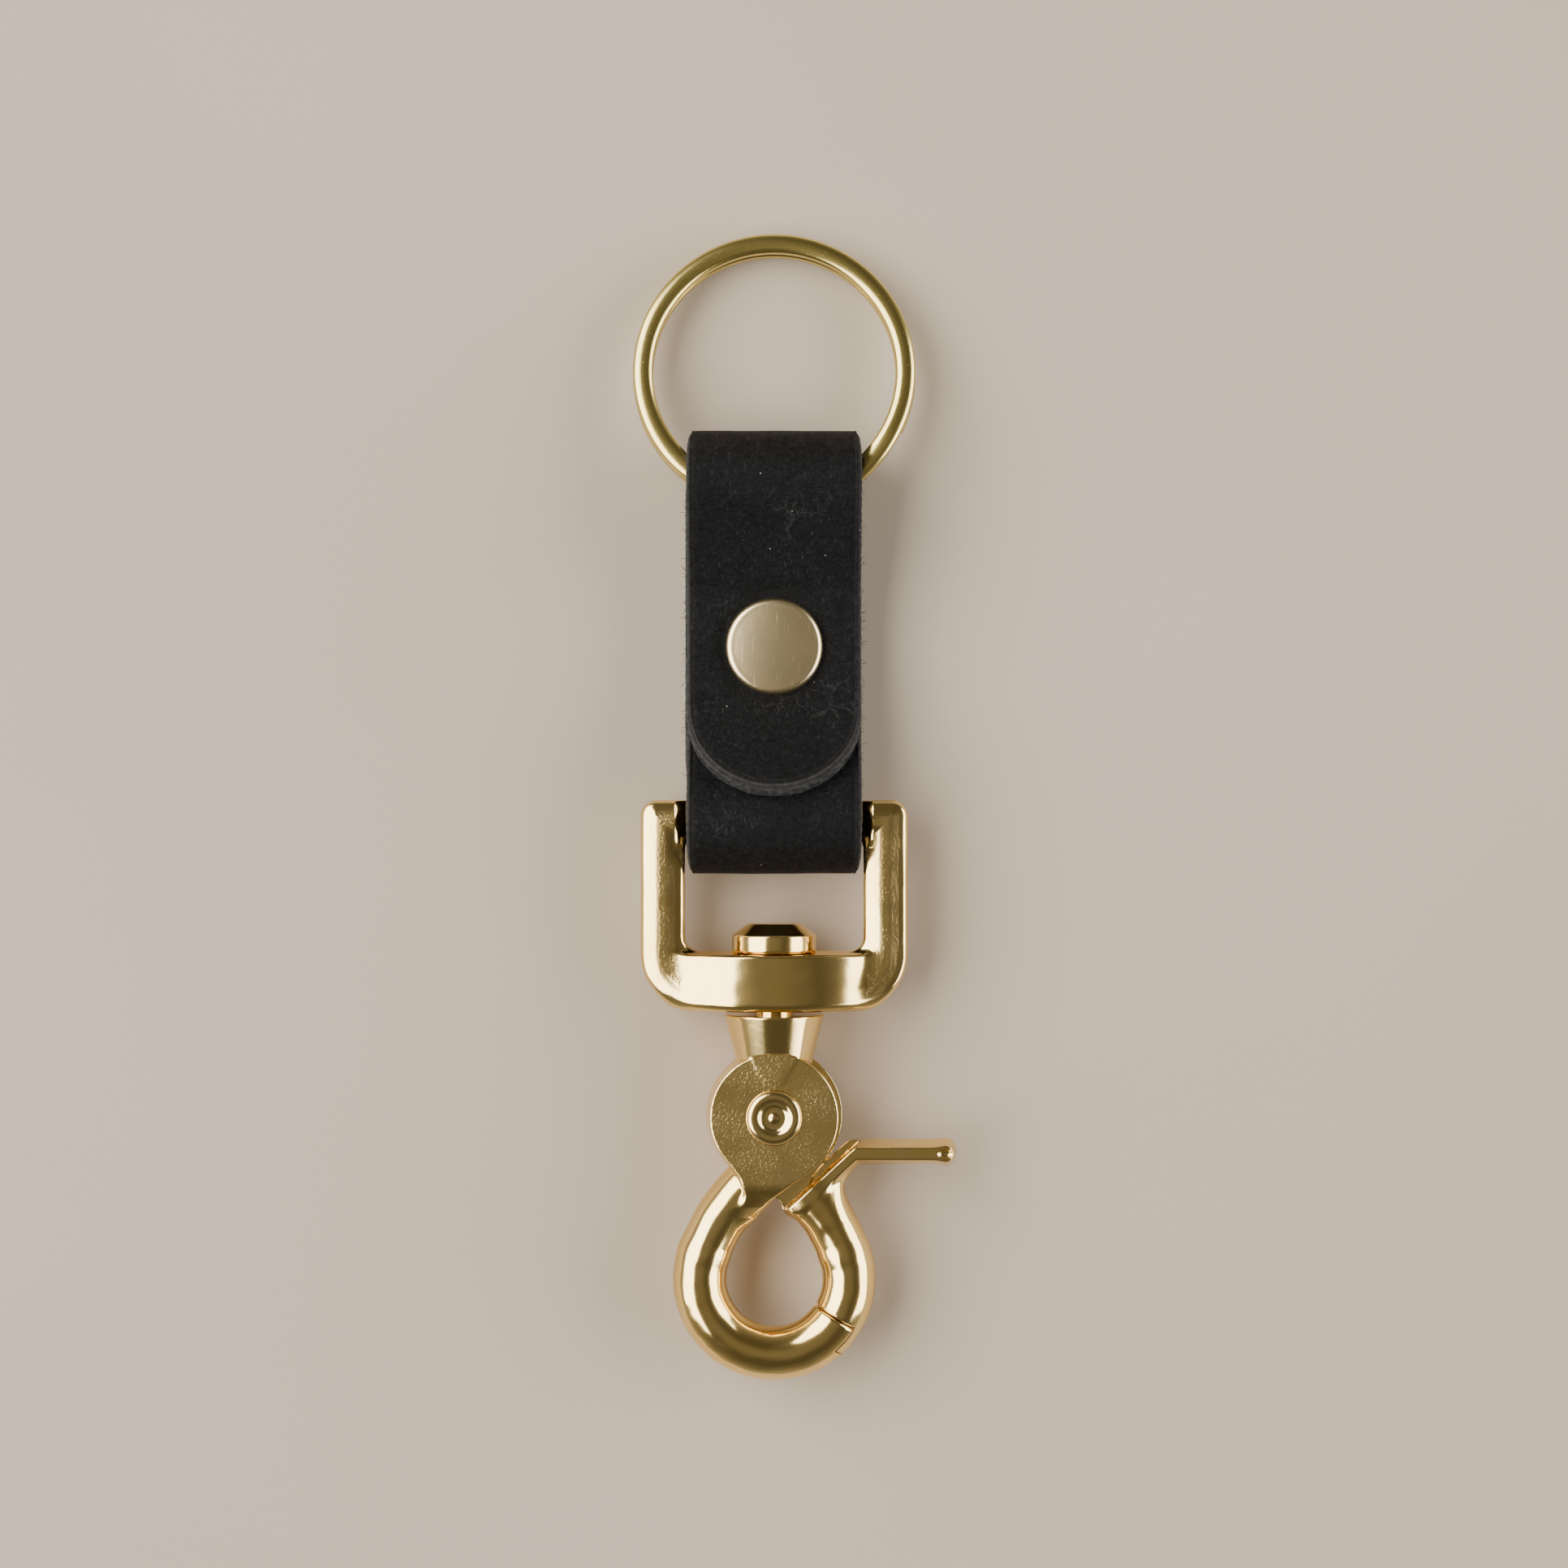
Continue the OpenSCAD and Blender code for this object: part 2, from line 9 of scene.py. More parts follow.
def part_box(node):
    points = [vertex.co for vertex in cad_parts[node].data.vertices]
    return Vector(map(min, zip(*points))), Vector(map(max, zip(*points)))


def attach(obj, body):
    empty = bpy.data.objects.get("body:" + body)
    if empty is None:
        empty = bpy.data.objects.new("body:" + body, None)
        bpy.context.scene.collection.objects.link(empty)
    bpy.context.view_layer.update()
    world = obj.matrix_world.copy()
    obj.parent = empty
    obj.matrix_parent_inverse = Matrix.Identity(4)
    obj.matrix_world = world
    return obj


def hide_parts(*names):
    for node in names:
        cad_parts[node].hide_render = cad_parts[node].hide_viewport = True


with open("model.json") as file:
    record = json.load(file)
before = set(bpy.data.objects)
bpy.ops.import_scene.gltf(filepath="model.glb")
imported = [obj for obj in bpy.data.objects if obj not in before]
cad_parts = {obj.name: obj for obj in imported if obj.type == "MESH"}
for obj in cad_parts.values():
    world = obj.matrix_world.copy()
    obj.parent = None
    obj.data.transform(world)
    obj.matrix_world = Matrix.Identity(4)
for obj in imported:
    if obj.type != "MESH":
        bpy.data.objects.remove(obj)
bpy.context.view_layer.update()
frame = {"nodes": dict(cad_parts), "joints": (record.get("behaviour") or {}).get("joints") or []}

# ---------------------------------------------------------------- strap
# One strip of black vegetable-tanned leather, 18.8 mm wide and 2.2 mm thick, folded round the key ring
# and round the snap's bar. Its edges are bevelled and rubbed, its front flap is cut to a half round,
# and the cut edges stay a little fuzzy.


def middle(node):
    """Middle of a node's box in millimetres."""
    low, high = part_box(node)
    return np.array((low + high) / 2) * 1000


def node_box(node, origin=(0, 0, 0)):
    """Low and high corner of a node's box in millimetres, measured from a place."""
    return [np.array(corner) * 1000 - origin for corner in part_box(node)]


def joint_place(name):
    """Where a joint turns, in millimetres."""
    return np.array(next(j for j in frame["joints"] if j["name"] == name)["pos_m"]) * 1000


class Shade:
    """A socket in a material's node tree, with arithmetic between values."""

    def __init__(self, tree, socket=None):
        self.tree = tree
        self.socket = socket

    def node(self, kind, settings=None, sockets=None, out=0):
        """A new node: its settings first, then the values or links of its sockets."""
        made = self.tree.nodes.new(kind)
        for name, value in (settings or {}).items():
            if name != "stops":
                setattr(made, name, value)
                continue
            ramp = made.color_ramp.elements
            ramp[0].position, ramp[1].position = value[0][0], value[-1][0]
            for place, _ in value[1:-1]:
                ramp.new(place)
            for stop, (_, tint) in zip(ramp, value):
                stop.color = (*tint, 1.0) if isinstance(tint, tuple) else (tint, tint, tint, 1.0)
        for name, value in (sockets or {}).items():
            if isinstance(value, Shade):
                self.tree.links.new(value.socket, made.inputs[name])
            else:
                made.inputs[name].default_value = value
        return Shade(self.tree, made.outputs[out] if made.outputs else None)

    def maths(self, operation, first, second=0.0):
        return self.node("ShaderNodeMath", {"operation": operation}, {0: first, 1: second})

    def __add__(self, other):
        return self.maths("ADD", self, other)

    def __radd__(self, other):
        return self.maths("ADD", other, self)

    def __sub__(self, other):
        return self.maths("SUBTRACT", self, other)

    def __rsub__(self, other):
        return self.maths("SUBTRACT", other, self)

    def __mul__(self, other):
        return self.maths("MULTIPLY", self, other)

    def __pow__(self, other):
        return self.maths("POWER", self, other)

    def step(self, low, high):
        """0 below low, 1 above high, and a smooth rise between them."""
        return self.node("ShaderNodeMapRange", {"interpolation_type": "SMOOTHSTEP", "clamp": True},
                         {"Value": self, "From Min": low, "From Max": high})

    def mix(self, first, second):
        """A colour between two, where this value is the share of the second."""
        return self.node("ShaderNodeMix", {"data_type": "RGBA"}, {"Factor": self, 6: first, 7: second}, out=2)


def finish_tree(name):
    """A new material and its tree, with the piece's own coordinates in metres."""
    material = bpy.data.materials.new(name)
    material.use_nodes = True
    material.node_tree.nodes.clear()
    tree = Shade(material.node_tree)
    place = tree.node("ShaderNodeTexCoord", out="Object")
    return material, tree, place


def surface(tree, sockets):
    """The surface's shader, linked to the material's output."""
    shader = tree.node("ShaderNodeBsdfPrincipled", None, sockets)
    tree.node("ShaderNodeOutputMaterial", None, {"Surface": shader})


def metal(tree, colour, rough, relief):
    surface(tree, {"Base Color": colour, "Metallic": 1.0, "Roughness": rough, "Normal": relief})


def bump(tree, height, strength, distance):
    """Fine relief, with its height in metres."""
    return tree.node("ShaderNodeBump", None, {"Height": height, "Strength": strength, "Distance": distance})


def point_value(tree, name):
    """A value that mark() left at the points of a piece."""
    return tree.node("ShaderNodeAttribute", {"attribute_name": name}, out="Fac")


def drawn_out(tree, place, share):
    """Coordinates in which a pattern is drawn out along a slanting line."""
    return tree.node("ShaderNodeMapping", None,
                     {"Vector": place, "Rotation": (0.0, 0.0, 0.9), "Scale": (1.0, share, 1.0)})


def noise(tree, place, per_metre, detail=3.0, rough=0.5, out=0):
    return tree.node("ShaderNodeTexNoise", None,
                     {"Vector": place, "Scale": per_metre, "Detail": detail, "Roughness": rough}, out=out)


def cells(tree, place, per_metre, feature="F1", out="Distance"):
    return tree.node("ShaderNodeTexVoronoi", {"feature": feature},
                     {"Vector": place, "Scale": per_metre}, out=out)


def black_leather():
    material, tree, place = finish_tree("black leather")
    edge, cut, fold, press = (point_value(tree, name) for name in ("edge", "cut", "fold", "press"))
    cloud = noise(tree, place, 140.0, 4.0)
    fine = noise(tree, place, 1700.0)
    pores = cells(tree, place, 4200.0)
    scuffs = noise(tree, drawn_out(tree, place, 0.35), 3600.0).step(0.56, 0.72) * cloud.step(0.30, 0.60)
    wander = noise(tree, place, 420.0, out="Color")
    bent = tree.node("ShaderNodeVectorMath", {"operation": "MULTIPLY_ADD"},
                     {0: wander, 1: (0.0034, 0.0034, 0.0034), 2: place}, out="Vector")
    creases = cells(tree, bent, 330.0, "DISTANCE_TO_EDGE")
    wrinkle = 1 - cells(tree, bent, 1300.0, "DISTANCE_TO_EDGE").step(0.0, 0.10)
    crease = (1 - creases.step(0.0, 0.06)) * noise(tree, place, 120.0, 1.0).step(0.5, 0.66)
    dust_cell = cells(tree, place, 850.0)
    dust_pick = cells(tree, place, 850.0, out="Color")
    few = tree.node("ShaderNodeSeparateColor", None, {"Color": dust_pick}).step(0.74, 0.78)
    dust = (1 - dust_cell.step(0.03, 0.075)) * few
    face = cloud.step(0.3, 0.7).mix((0.0028, 0.0029, 0.0033, 1), (0.0048, 0.0049, 0.0054, 1))
    grained = (fine.step(0.40, 0.66) * 0.6).mix(face, (0.0085, 0.0086, 0.0094, 1))
    paled = (crease * cloud.step(0.40, 0.62) * 0.5).mix(grained, (0.030, 0.030, 0.031, 1))
    # Painted shade: the pores and the fine wrinkle lines are darkened.
    pores_and_wrinkles_shaded = (wrinkle * 0.7 + (1 - pores.step(0.04, 0.30)) * 0.5).mix(paled, (0.0010, 0.0010, 0.0012, 1))
    worn = (fold * fine.step(0.25, 0.75)).mix(pores_and_wrinkles_shaded, (0.021, 0.0175, 0.014, 1))
    scuffed = (scuffs * 0.30).mix(worn, (0.045, 0.045, 0.046, 1))
    rubbed = (edge * (0.35 + fine * 0.6)).mix(scuffed, (0.052, 0.050, 0.048, 1))
    fuzzy = (cut * (0.25 + fine.step(0.35, 0.7) * 0.75)).mix(rubbed, (0.062, 0.063, 0.065, 1))
    pressed = (press * 0.55).mix(fuzzy, (0.006, 0.006, 0.0066, 1))
    colour = (dust * 0.75).mix(pressed, (0.42, 0.41, 0.39, 1))
    rough = 0.58 + cloud * 0.12 + edge * 0.10 + cut * 0.2 - press * 0.12 + fine * 0.06
    height = (pores.step(0.05, 0.55) * 0.7 + fine * 0.8 + cloud * 0.5 - crease * 0.7 - wrinkle * 0.4
              + cut * fine * 1.2)
    surface(tree, {"Base Color": colour, "Roughness": rough, "Specular IOR Level": 0.10,
                   "Normal": bump(tree, height, 0.6, 0.00012)})
    return material


def placed(name, data):
    """A new object in the scene."""
    made = bpy.data.objects.new(name, data)
    bpy.context.scene.collection.objects.link(made)
    return made


def flat_mesh(name, points, faces, material, smooth=60.0):
    """A mesh object from points in millimetres, smooth except where faces meet at more than an angle."""
    mesh = bpy.data.meshes.new(name)
    mesh.from_pydata((np.asarray(points, float) / 1000).tolist(), [], faces)
    mesh.materials.append(material)
    mesh.polygons.foreach_set("use_smooth", np.ones(len(mesh.polygons), bool))
    mesh.set_sharp_from_angle(angle=math.radians(smooth))
    return placed(name, mesh)


def mark(piece, name, values):
    """A value at each point of a piece, for its material."""
    layer = piece.data.attributes.new(name, "FLOAT", "POINT")
    layer.data.foreach_set("value", np.asarray(values, np.float32))


def tube_faces(rows, size):
    """Quads between closed rows of points, all of one size."""
    return [(i * size + k, i * size + (k + 1) % size, (i + 1) * size + (k + 1) % size, (i + 1) * size + k)
            for i in range(rows - 1) for k in range(size)]


def arc_points(centre, radius, start, end):
    count = max(2, int(abs(math.radians(end - start)) * radius / line_step))
    turn = np.radians(np.linspace(start, end, count))
    return np.stack([centre[0] + radius * np.cos(turn), centre[1] + radius * np.sin(turn)], 1)


leather_t = 2.2
layer_gap = 0.05
line_step = 0.2
strap_low, strap_high = node_box("strap")
axis_x = (strap_low[0] + strap_high[0]) / 2
strap_half = (strap_high[0] - strap_low[0]) / 2
rivet_y = middle("rivet_front_cap")[1]
ring_turn = joint_place("ring_swing")
bar_turn = joint_place("frame_swing")
half_t = leather_t / 2
upper_r = ring_turn[2] - half_t
lower_r = bar_turn[2] - half_t
upper_c = np.array([strap_high[1] - upper_r - half_t, ring_turn[2]])
lower_c = np.array([strap_low[1] + lower_r + half_t, bar_turn[2]])
middle_z = leather_t + layer_gap + half_t
flap_z = middle_z + leather_t + layer_gap
# The slopes, in degrees, at which layers leave the folds. How far the bends and the hidden end lie from the
# rivet, and how far the flap runs past its bend.
upper_slope, lower_slope = 24.289, 26.386
lower_bend, upper_bend, hidden_end, tip_run = 5.65, 6.55, 7.5, 12.22


def strap_line():
    """The strip's middle line in the YZ plane, from the flap's end to the hidden end."""
    slope, bend = math.radians(lower_slope), rivet_y - lower_bend
    flap_bend = np.array([bend + (flap_z - half_t - middle_z + leather_t) * math.tan(slope / 2), flap_z])
    tip = flap_bend + np.array([-math.cos(slope), math.sin(slope)]) * tip_run
    top_bend = np.array([rivet_y + upper_bend - half_t * math.tan(math.radians(upper_slope / 2)), flap_z])
    middle_bend = np.array([bend + half_t * math.tan(slope / 2), middle_z])
    corners = [np.array([tip, flap_bend, top_bend]),
               arc_points(upper_c, upper_r, 90 + upper_slope, -90),
               arc_points(lower_c, lower_r, -90, -270 - lower_slope),
               np.array([middle_bend, [rivet_y + hidden_end, middle_z]])]
    line = np.concatenate(corners)
    run = np.concatenate([[0], np.cumsum(np.hypot(*np.diff(line, axis=0).T))])
    even = np.linspace(0, run[-1], int(run[-1] / line_step) + 1)
    line = np.stack([np.interp(even, run, line[:, 0]), np.interp(even, run, line[:, 1])], 1)
    # The corners are softened: each point moves to the weighted middle of its neighbours.
    reach = 9
    weight = np.exp(-(np.arange(-reach, reach + 1) / 3.5) ** 2)
    weight /= weight.sum()
    ends = np.concatenate([line[0] - (line[1] - line[0]) * np.arange(reach, 0, -1)[:, None], line,
                           line[-1] + (line[-1] - line[-2]) * np.arange(1, reach + 1)[:, None]])
    soft = np.stack([np.convolve(ends[:, k], weight, "valid") for k in (0, 1)], 1)
    return soft, np.concatenate([[0], np.cumsum(np.hypot(*np.diff(soft, axis=0).T))])


def wave(x, y, size, seed=0.0):
    """Gentle unevenness between about -1 and 1, with bumps about size long."""
    u, v = x / size * 2.1, y / size * 2.1
    return (np.sin(u + 1.3 * np.sin(v * 0.7 + seed) + seed) * np.sin(v * 1.1 + 1.1 * np.sin(u * 0.6 - seed))
            + 0.5 * np.sin(2.3 * u - 1.7 * v + 3 * seed) * np.sin(1.9 * v + 0.8 * u + seed)) / 1.5


def folded_strap():
    line, run = strap_line()
    along = np.gradient(line, run, axis=0)
    along /= np.hypot(*along.T)[:, None]
    out = np.stack([-along[:, 1], along[:, 0]], 1)
    upper_s = run[np.argmax(line[:, 0])]
    lower_s = run[np.argmin(line[:, 0])]
    r = strap_half

    def on_strip(s, x, h):
        """A point of the strip: s along it, x across it, h out of its middle."""
        spots = [np.interp(s, run, part) for part in (line[:, 0], line[:, 1], out[:, 0], out[:, 1])]
        # The back layer lies a little to the left of the front one.
        drift = -0.33 * np.clip(np.minimum(s - upper_s - 3, lower_s - 8.8 - s) / 5, 0, 1)
        return np.stack([x + drift, spots[0] + spots[2] * h, spots[1] + spots[3] * h], -1)

    # Stations (half width, s, and the edge's direction in x and s): round the flap's end, then evenly.
    round_end = 56
    angles = np.radians(np.linspace(1.5, 90, round_end))
    stations = [(r * math.sin(a), r - r * math.cos(a), math.sin(a), math.cos(a)) for a in angles]
    for s in np.linspace(r, run[-1], 400)[1:]:
        # The strip is a little narrower where it is folded.
        narrow = 0.27 * (math.exp(-((s - upper_s) / 3.0) ** 2) + math.exp(-((s - lower_s) / 3.0) ** 2))
        stations.append((r - narrow, s, 1.0, 0.0))
    # The edge from the grain side to the flesh side: how far in, how high, how rubbed and how cut.
    t = half_t
    rim = [(1.30, t, 0, 0), (1.08, t, 0, 0), (0.98, t - 0.055, .25, 0), (0.88, t, .1, 0),
           (0.62, t + 0.01, .1, 0), (0.50, t - 0.01, .5, 0), (0.40, t - 0.07, .9, .1),
           (0.26, t - 0.20, .35, .1), (0.13, t - 0.34, .5, .2), (0.04, t - 0.50, 1, .6),
           (0.0, t - 0.75, .3, 1), (0.03, 0.15, .2, 1), (0.0, -0.3, .2, 1), (0.03, -t + 0.3, .3, 1),
           (0.08, -t + 0.10, .6, .8), (0.22, -t + 0.01, .3, .3), (0.6, -t, 0, 0)]
    across, count = 42, len(rim)
    points, fold, press = [], [], []
    for half, s, nx, ns in stations:
        right = []
        flap_end = max(0.0, 1 - s / (1.3 * r))
        for k, (inset, h, _, _) in enumerate(rim):
            # The creased line lies closer to the edge along the sides than round the flap's end.
            if 0 < k < 5:
                inset = inset - 0.30 * (1 - flap_end)
            rough = 0.035 * math.sin(s * 7.3 + k) + 0.02 * math.sin(s * 17.1 + 2 * k) if 8 < k < 15 else 0.0
            right.append((half - (inset + rough) * nx, s + (inset + rough) * ns, h))
        left = [(-x, place_s, h) for x, place_s, h in right]
        shares = np.linspace(0, 1, across + 2)[1:-1]
        grain = [(right[0][0] + (left[0][0] - right[0][0]) * f, left[0][1], t) for f in shares]
        flesh = [(left[-1][0] + (right[-1][0] - left[-1][0]) * f, left[-1][1], -t) for f in shares]
        section = np.array(left + flesh + right[::-1] + grain)
        x, s_all, h = section.T
        spots = on_strip(s_all, x, h)
        from_rivet = np.hypot(x, spots[:, 1] - rivet_y)
        front = (s_all < upper_s) & (h > 0)
        dent = np.where(front, -0.20 * np.exp(-((from_rivet - 5.2) / 0.75) ** 2)
                        + 0.05 * np.exp(-((from_rivet - 7.2) / 0.8) ** 2), 0.0)
        uneven = 0.045 * wave(x, s_all, 6.0) * np.clip((r - np.abs(x)) / 3, 0, 1) * (h > 0)
        points.append(on_strip(s_all, x, h + dent + uneven))
        fold.append(np.exp(-((s_all - upper_s) / 3.2) ** 2) + 0.6 * np.exp(-((s_all - lower_s) / 2.6) ** 2))
        press.append(np.where(front, np.exp(-((from_rivet - 5.4) / 0.55) ** 2), 0.0))
    size = 2 * count + 2 * across
    rows = len(points)
    faces = tube_faces(rows, size)
    # Each end is closed by a ladder of quads from side to side, and one face above and one below.
    last_right = count + across
    for base, flip in ((0, True), ((rows - 1) * size, False)):
        lids = []
        opposite = base + last_right + count - 1
        for k in range(1, count - 2):
            lids.append([base + k, base + k + 1, opposite - 1 - k, opposite - k])
        top = [base + 1, opposite - 1, opposite]
        top += [base + size - across + i for i in range(across)] + [base]
        bottom = [base + count - 2, base + count - 1] + [base + count + i for i in range(across)]
        bottom += [base + last_right, base + last_right + 1]
        lids += [top, bottom]
        faces += [tuple(face[::-1]) if flip else tuple(face) for face in lids]
    cloud = np.concatenate(points) + [axis_x, 0, 0]
    piece = flat_mesh("folded_strap", cloud, faces, black_leather(), 50.0)
    for name, column in (("edge", 2), ("cut", 3)):
        side = [part[column] for part in rim]
        mark(piece, name, np.tile(side + [0] * across + side[::-1] + [0] * across, rows))
    mark(piece, "fold", np.concatenate(fold))
    mark(piece, "press", np.concatenate(press))

    # The lines that the loose fibres grow from: the flap's round end, and both long edges of each layer.
    flap = [on_strip(np.array([s]), np.array([side * half]), np.array([-0.2]))[0]
            for side in (-1, 1) for half, s, _, _ in stations[:round_end]]
    flap_line = np.array(flap[round_end - 1::-1] + flap[round_end:]) + [axis_x, 0, 0]
    layers = ((r, upper_s - 3), (upper_s + 3, lower_s - 11), (lower_s + 11, run[-1]))
    sides = [on_strip(np.linspace(a, b, 90), np.full(90, side * r), np.full(90, -0.3)) + [axis_x, 0, 0]
             for side in (-1, 1) for a, b in layers]
    return piece, flap_line, sides


def geometry_tree(name, sockets):
    """A new Geometry Nodes tree, its maker of nodes, and its inputs by name."""
    tree = bpy.data.node_groups.new(name, "GeometryNodeTree")
    tree.interface.new_socket("Geometry", in_out="INPUT", socket_type="NodeSocketGeometry")
    for label, kind, value in sockets:
        made = tree.interface.new_socket(label, in_out="INPUT", socket_type="NodeSocket" + kind)
        made.default_value = value
    tree.interface.new_socket("Geometry", in_out="OUTPUT", socket_type="NodeSocketGeometry")
    given = {s.name: Shade(tree, s) for s in tree.nodes.new("NodeGroupInput").outputs if s.name}
    return tree, Shade(tree).node, given


def end_tree(tree, geometry, material):
    """Ends a Geometry Nodes tree with real geometry in its material."""
    whole = Shade(tree).node("GeometryNodeRealizeInstances", None, {"Geometry": geometry})
    coated = Shade(tree).node("GeometryNodeSetMaterial", None, {"Geometry": whole, "Material": material})
    tree.links.new(coated.socket, tree.nodes.new("NodeGroupOutput").inputs["Geometry"])
    return tree


def grown(name, points, tree, values):
    """Runs a tree on lines of points in millimetres, and keeps the result as a plain mesh."""
    source = bpy.data.meshes.new(name + "_line")
    lines = points if isinstance(points, list) else [points]
    cloud = np.concatenate(lines) / 1000
    links, start = [], 0
    for part in lines:
        links += [(i, i + 1) for i in range(start, start + len(part) - 1)]
        start += len(part)
    source.from_pydata(cloud.tolist(), links, [])
    carrier = placed(name + "_line", source)
    grower = carrier.modifiers.new(name, "NODES")
    grower.node_group = tree
    for item in tree.interface.items_tree:
        if item.in_out == "INPUT" and item.name in values:
            grower[item.identifier] = values[item.name]
    carrier.update_tag()
    bpy.context.view_layer.update()
    mesh = bpy.data.meshes.new_from_object(carrier.evaluated_get(bpy.context.evaluated_depsgraph_get()))
    mesh.name = name
    bpy.data.objects.remove(carrier)
    return placed(name, mesh)


def fibre_tree(material):
    """Short bent fibres along a line, each turned and sized at random."""
    tree, add, given = geometry_tree("loose fibres", [("Count", "Int", 100), ("Length", "Float", 0.0005),
                                                      ("Seed", "Int", 1)])
    line = add("GeometryNodeMeshToCurve", None, {"Mesh": given["Geometry"]})
    roots = add("GeometryNodeCurveToPoints", {"mode": "COUNT"}, {"Curve": line, "Count": given["Count"]})
    bow = add("GeometryNodeCurveQuadraticBezier", None,
              {"Resolution": 4, "Start": (0, 0, 0), "Middle": (0.25, 0.1, 0.55), "End": (-0.1, 0.3, 1.0)})
    ring = add("GeometryNodeCurvePrimitiveCircle", None, {"Resolution": 3, "Radius": 0.04})
    strand = add("GeometryNodeCurveToMesh", None, {"Curve": bow, "Profile Curve": ring, "Fill Caps": True})
    lean = add("FunctionNodeRandomValue", {"data_type": "FLOAT_VECTOR"},
               {0: (-3.1, -3.1, -3.1), 1: (3.1, 3.1, 3.1), "Seed": given["Seed"]})
    size = add("FunctionNodeRandomValue", {"data_type": "FLOAT"},
               {2: 0.35, 3: 1.0, "Seed": given["Seed"]}, out=1)
    fibres = add("GeometryNodeInstanceOnPoints", None,
                 {"Points": roots, "Instance": strand, "Rotation": lean, "Scale": size * given["Length"]})
    return end_tree(tree, fibres, material)


def fibre_finish():
    material, tree, place = finish_tree("leather fibre")
    tint = noise(tree, place, 900.0).step(0.35, 0.65)
    colour = tint.mix((0.010, 0.010, 0.011, 1), (0.055, 0.053, 0.050, 1))
    surface(tree, {"Base Color": colour, "Roughness": 0.5 + tint * 0.3})
    return material


strap_piece, flap_line, side_lines = folded_strap()
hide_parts("strap")
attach(strap_piece, "strap")
fibres = fibre_tree(fibre_finish())
for fibre_name, lines, amount, length, seed in (("flap_edge_fibres", flap_line, 420, 0.00042, 3),
                                                ("side_edge_fibres", side_lines, 105, 0.0007, 8)):
    fuzz = grown(fibre_name, lines, fibres, {"Count": amount, "Length": length, "Seed": seed})
    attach(fuzz, "strap")

# ---------------------------------------------------------------- rivet
# A double-cap rivet of plated brass: a drawn cap on each side, a flanged tube inside the front cap, and
# a post from the back that is set in the tube with a hammer. The caps squeeze the three layers together.


def turned(name, centre, axis, profile, material):
    """A turned piece: profile gives (radius, place along the axis), and both its ends lie on the axis."""
    count = 144
    rows = np.array(profile[1:-1])
    turn = np.linspace(0, 2 * math.pi, count, endpoint=False)
    rings = np.stack([rows[:, :1] * np.cos(turn), rows[:, :1] * np.sin(turn),
                      np.repeat(rows[:, 1:], count, 1)], -1).reshape(-1, 3)
    cloud = np.concatenate([rings, [[0, 0, profile[0][1]], [0, 0, profile[-1][1]]]])
    if axis == "y":
        cloud = cloud[:, [1, 2, 0]]
    faces, total = tube_faces(len(rows), count), len(rings)
    last_row = total - count
    for k in range(count):
        after = (k + 1) % count
        faces += [(total, after, k), (last_row + k, last_row + after, total + 1)]
    return flat_mesh(name, cloud + centre, faces, material, 35.0)


def coat(node, material):
    """Gives a node that stays as a solid its drawn finish."""
    slots = frame["nodes"][node].data.materials
    slots.clear()
    slots.append(material)


def rounded(corners, radius):
    """A profile with its inner corners cut to small arcs."""
    made = [corners[0]]
    for before, here, after in zip(corners, corners[1:], corners[2:]):
        here = np.array(here, float)
        back, on = np.array(before) - here, np.array(after) - here
        cut = min(radius, 0.45 * np.hypot(*back), 0.45 * np.hypot(*on))
        a, b = here + back / np.hypot(*back) * cut, here + on / np.hypot(*on) * cut
        made += [tuple((1 - t) ** 2 * a + 2 * t * (1 - t) * here + t * t * b) for t in np.linspace(0, 1, 5)]
    return made + [corners[-1]]


def cap_finish(name, base, deep, rough=0.27):
    """Polished plate with faint wiping marks and a few fine scratches."""
    material, tree, place = finish_tree(name)
    cloud = noise(tree, place, 260.0)
    hair = noise(tree, drawn_out(tree, place, 0.05), 5200.0, 2.0).step(0.62, 0.72)
    dents = cells(tree, place, 900.0).step(0.05, 0.4)
    colour = (cloud.step(0.3, 0.7) * 0.7).mix(base, deep)
    relief = bump(tree, cloud * 1.2 + dents * 0.25 - hair * 0.25, 0.10, 0.00006)
    metal(tree, colour, rough + cloud * 0.06 + hair * 0.05, relief)
    return material


champagne = cap_finish("champagne plate", (0.82, 0.67, 0.40, 1), (0.76, 0.60, 0.34, 1), 0.24)
front_low, front_high = node_box("rivet_front_cap")
back_low = node_box("rivet_back_cap")[0]
cap_r = (front_high[0] - front_low[0]) / 2
cap_h = front_high[2] - front_low[2]
cap_wall, roll_w, roll_h = 0.35, 0.72, 0.70


def cap_profile(crown):
    """From the middle of the outside, over the rolled edge, to the middle of the inside."""
    outside = [(0.0, cap_h)]
    for step in np.linspace(0.08, 1, 12):
        outside.append((step * (cap_r - 0.75), cap_h - crown * step ** 2))
    lip = cap_h - crown
    for turn in np.radians(np.linspace(80, 0, 9)):
        outside.append((cap_r - roll_w + roll_w * math.cos(turn), lip - roll_h + roll_h * math.sin(turn)))
    edge = [(cap_r, 0.06), (cap_r - 0.05, 0.0), (cap_r - cap_wall, 0.0), (cap_r - cap_wall, lip - 0.8)]
    inside = [(cap_r - 0.9, lip - cap_wall), (0.0, cap_h - cap_wall - crown)]
    return outside + edge + inside


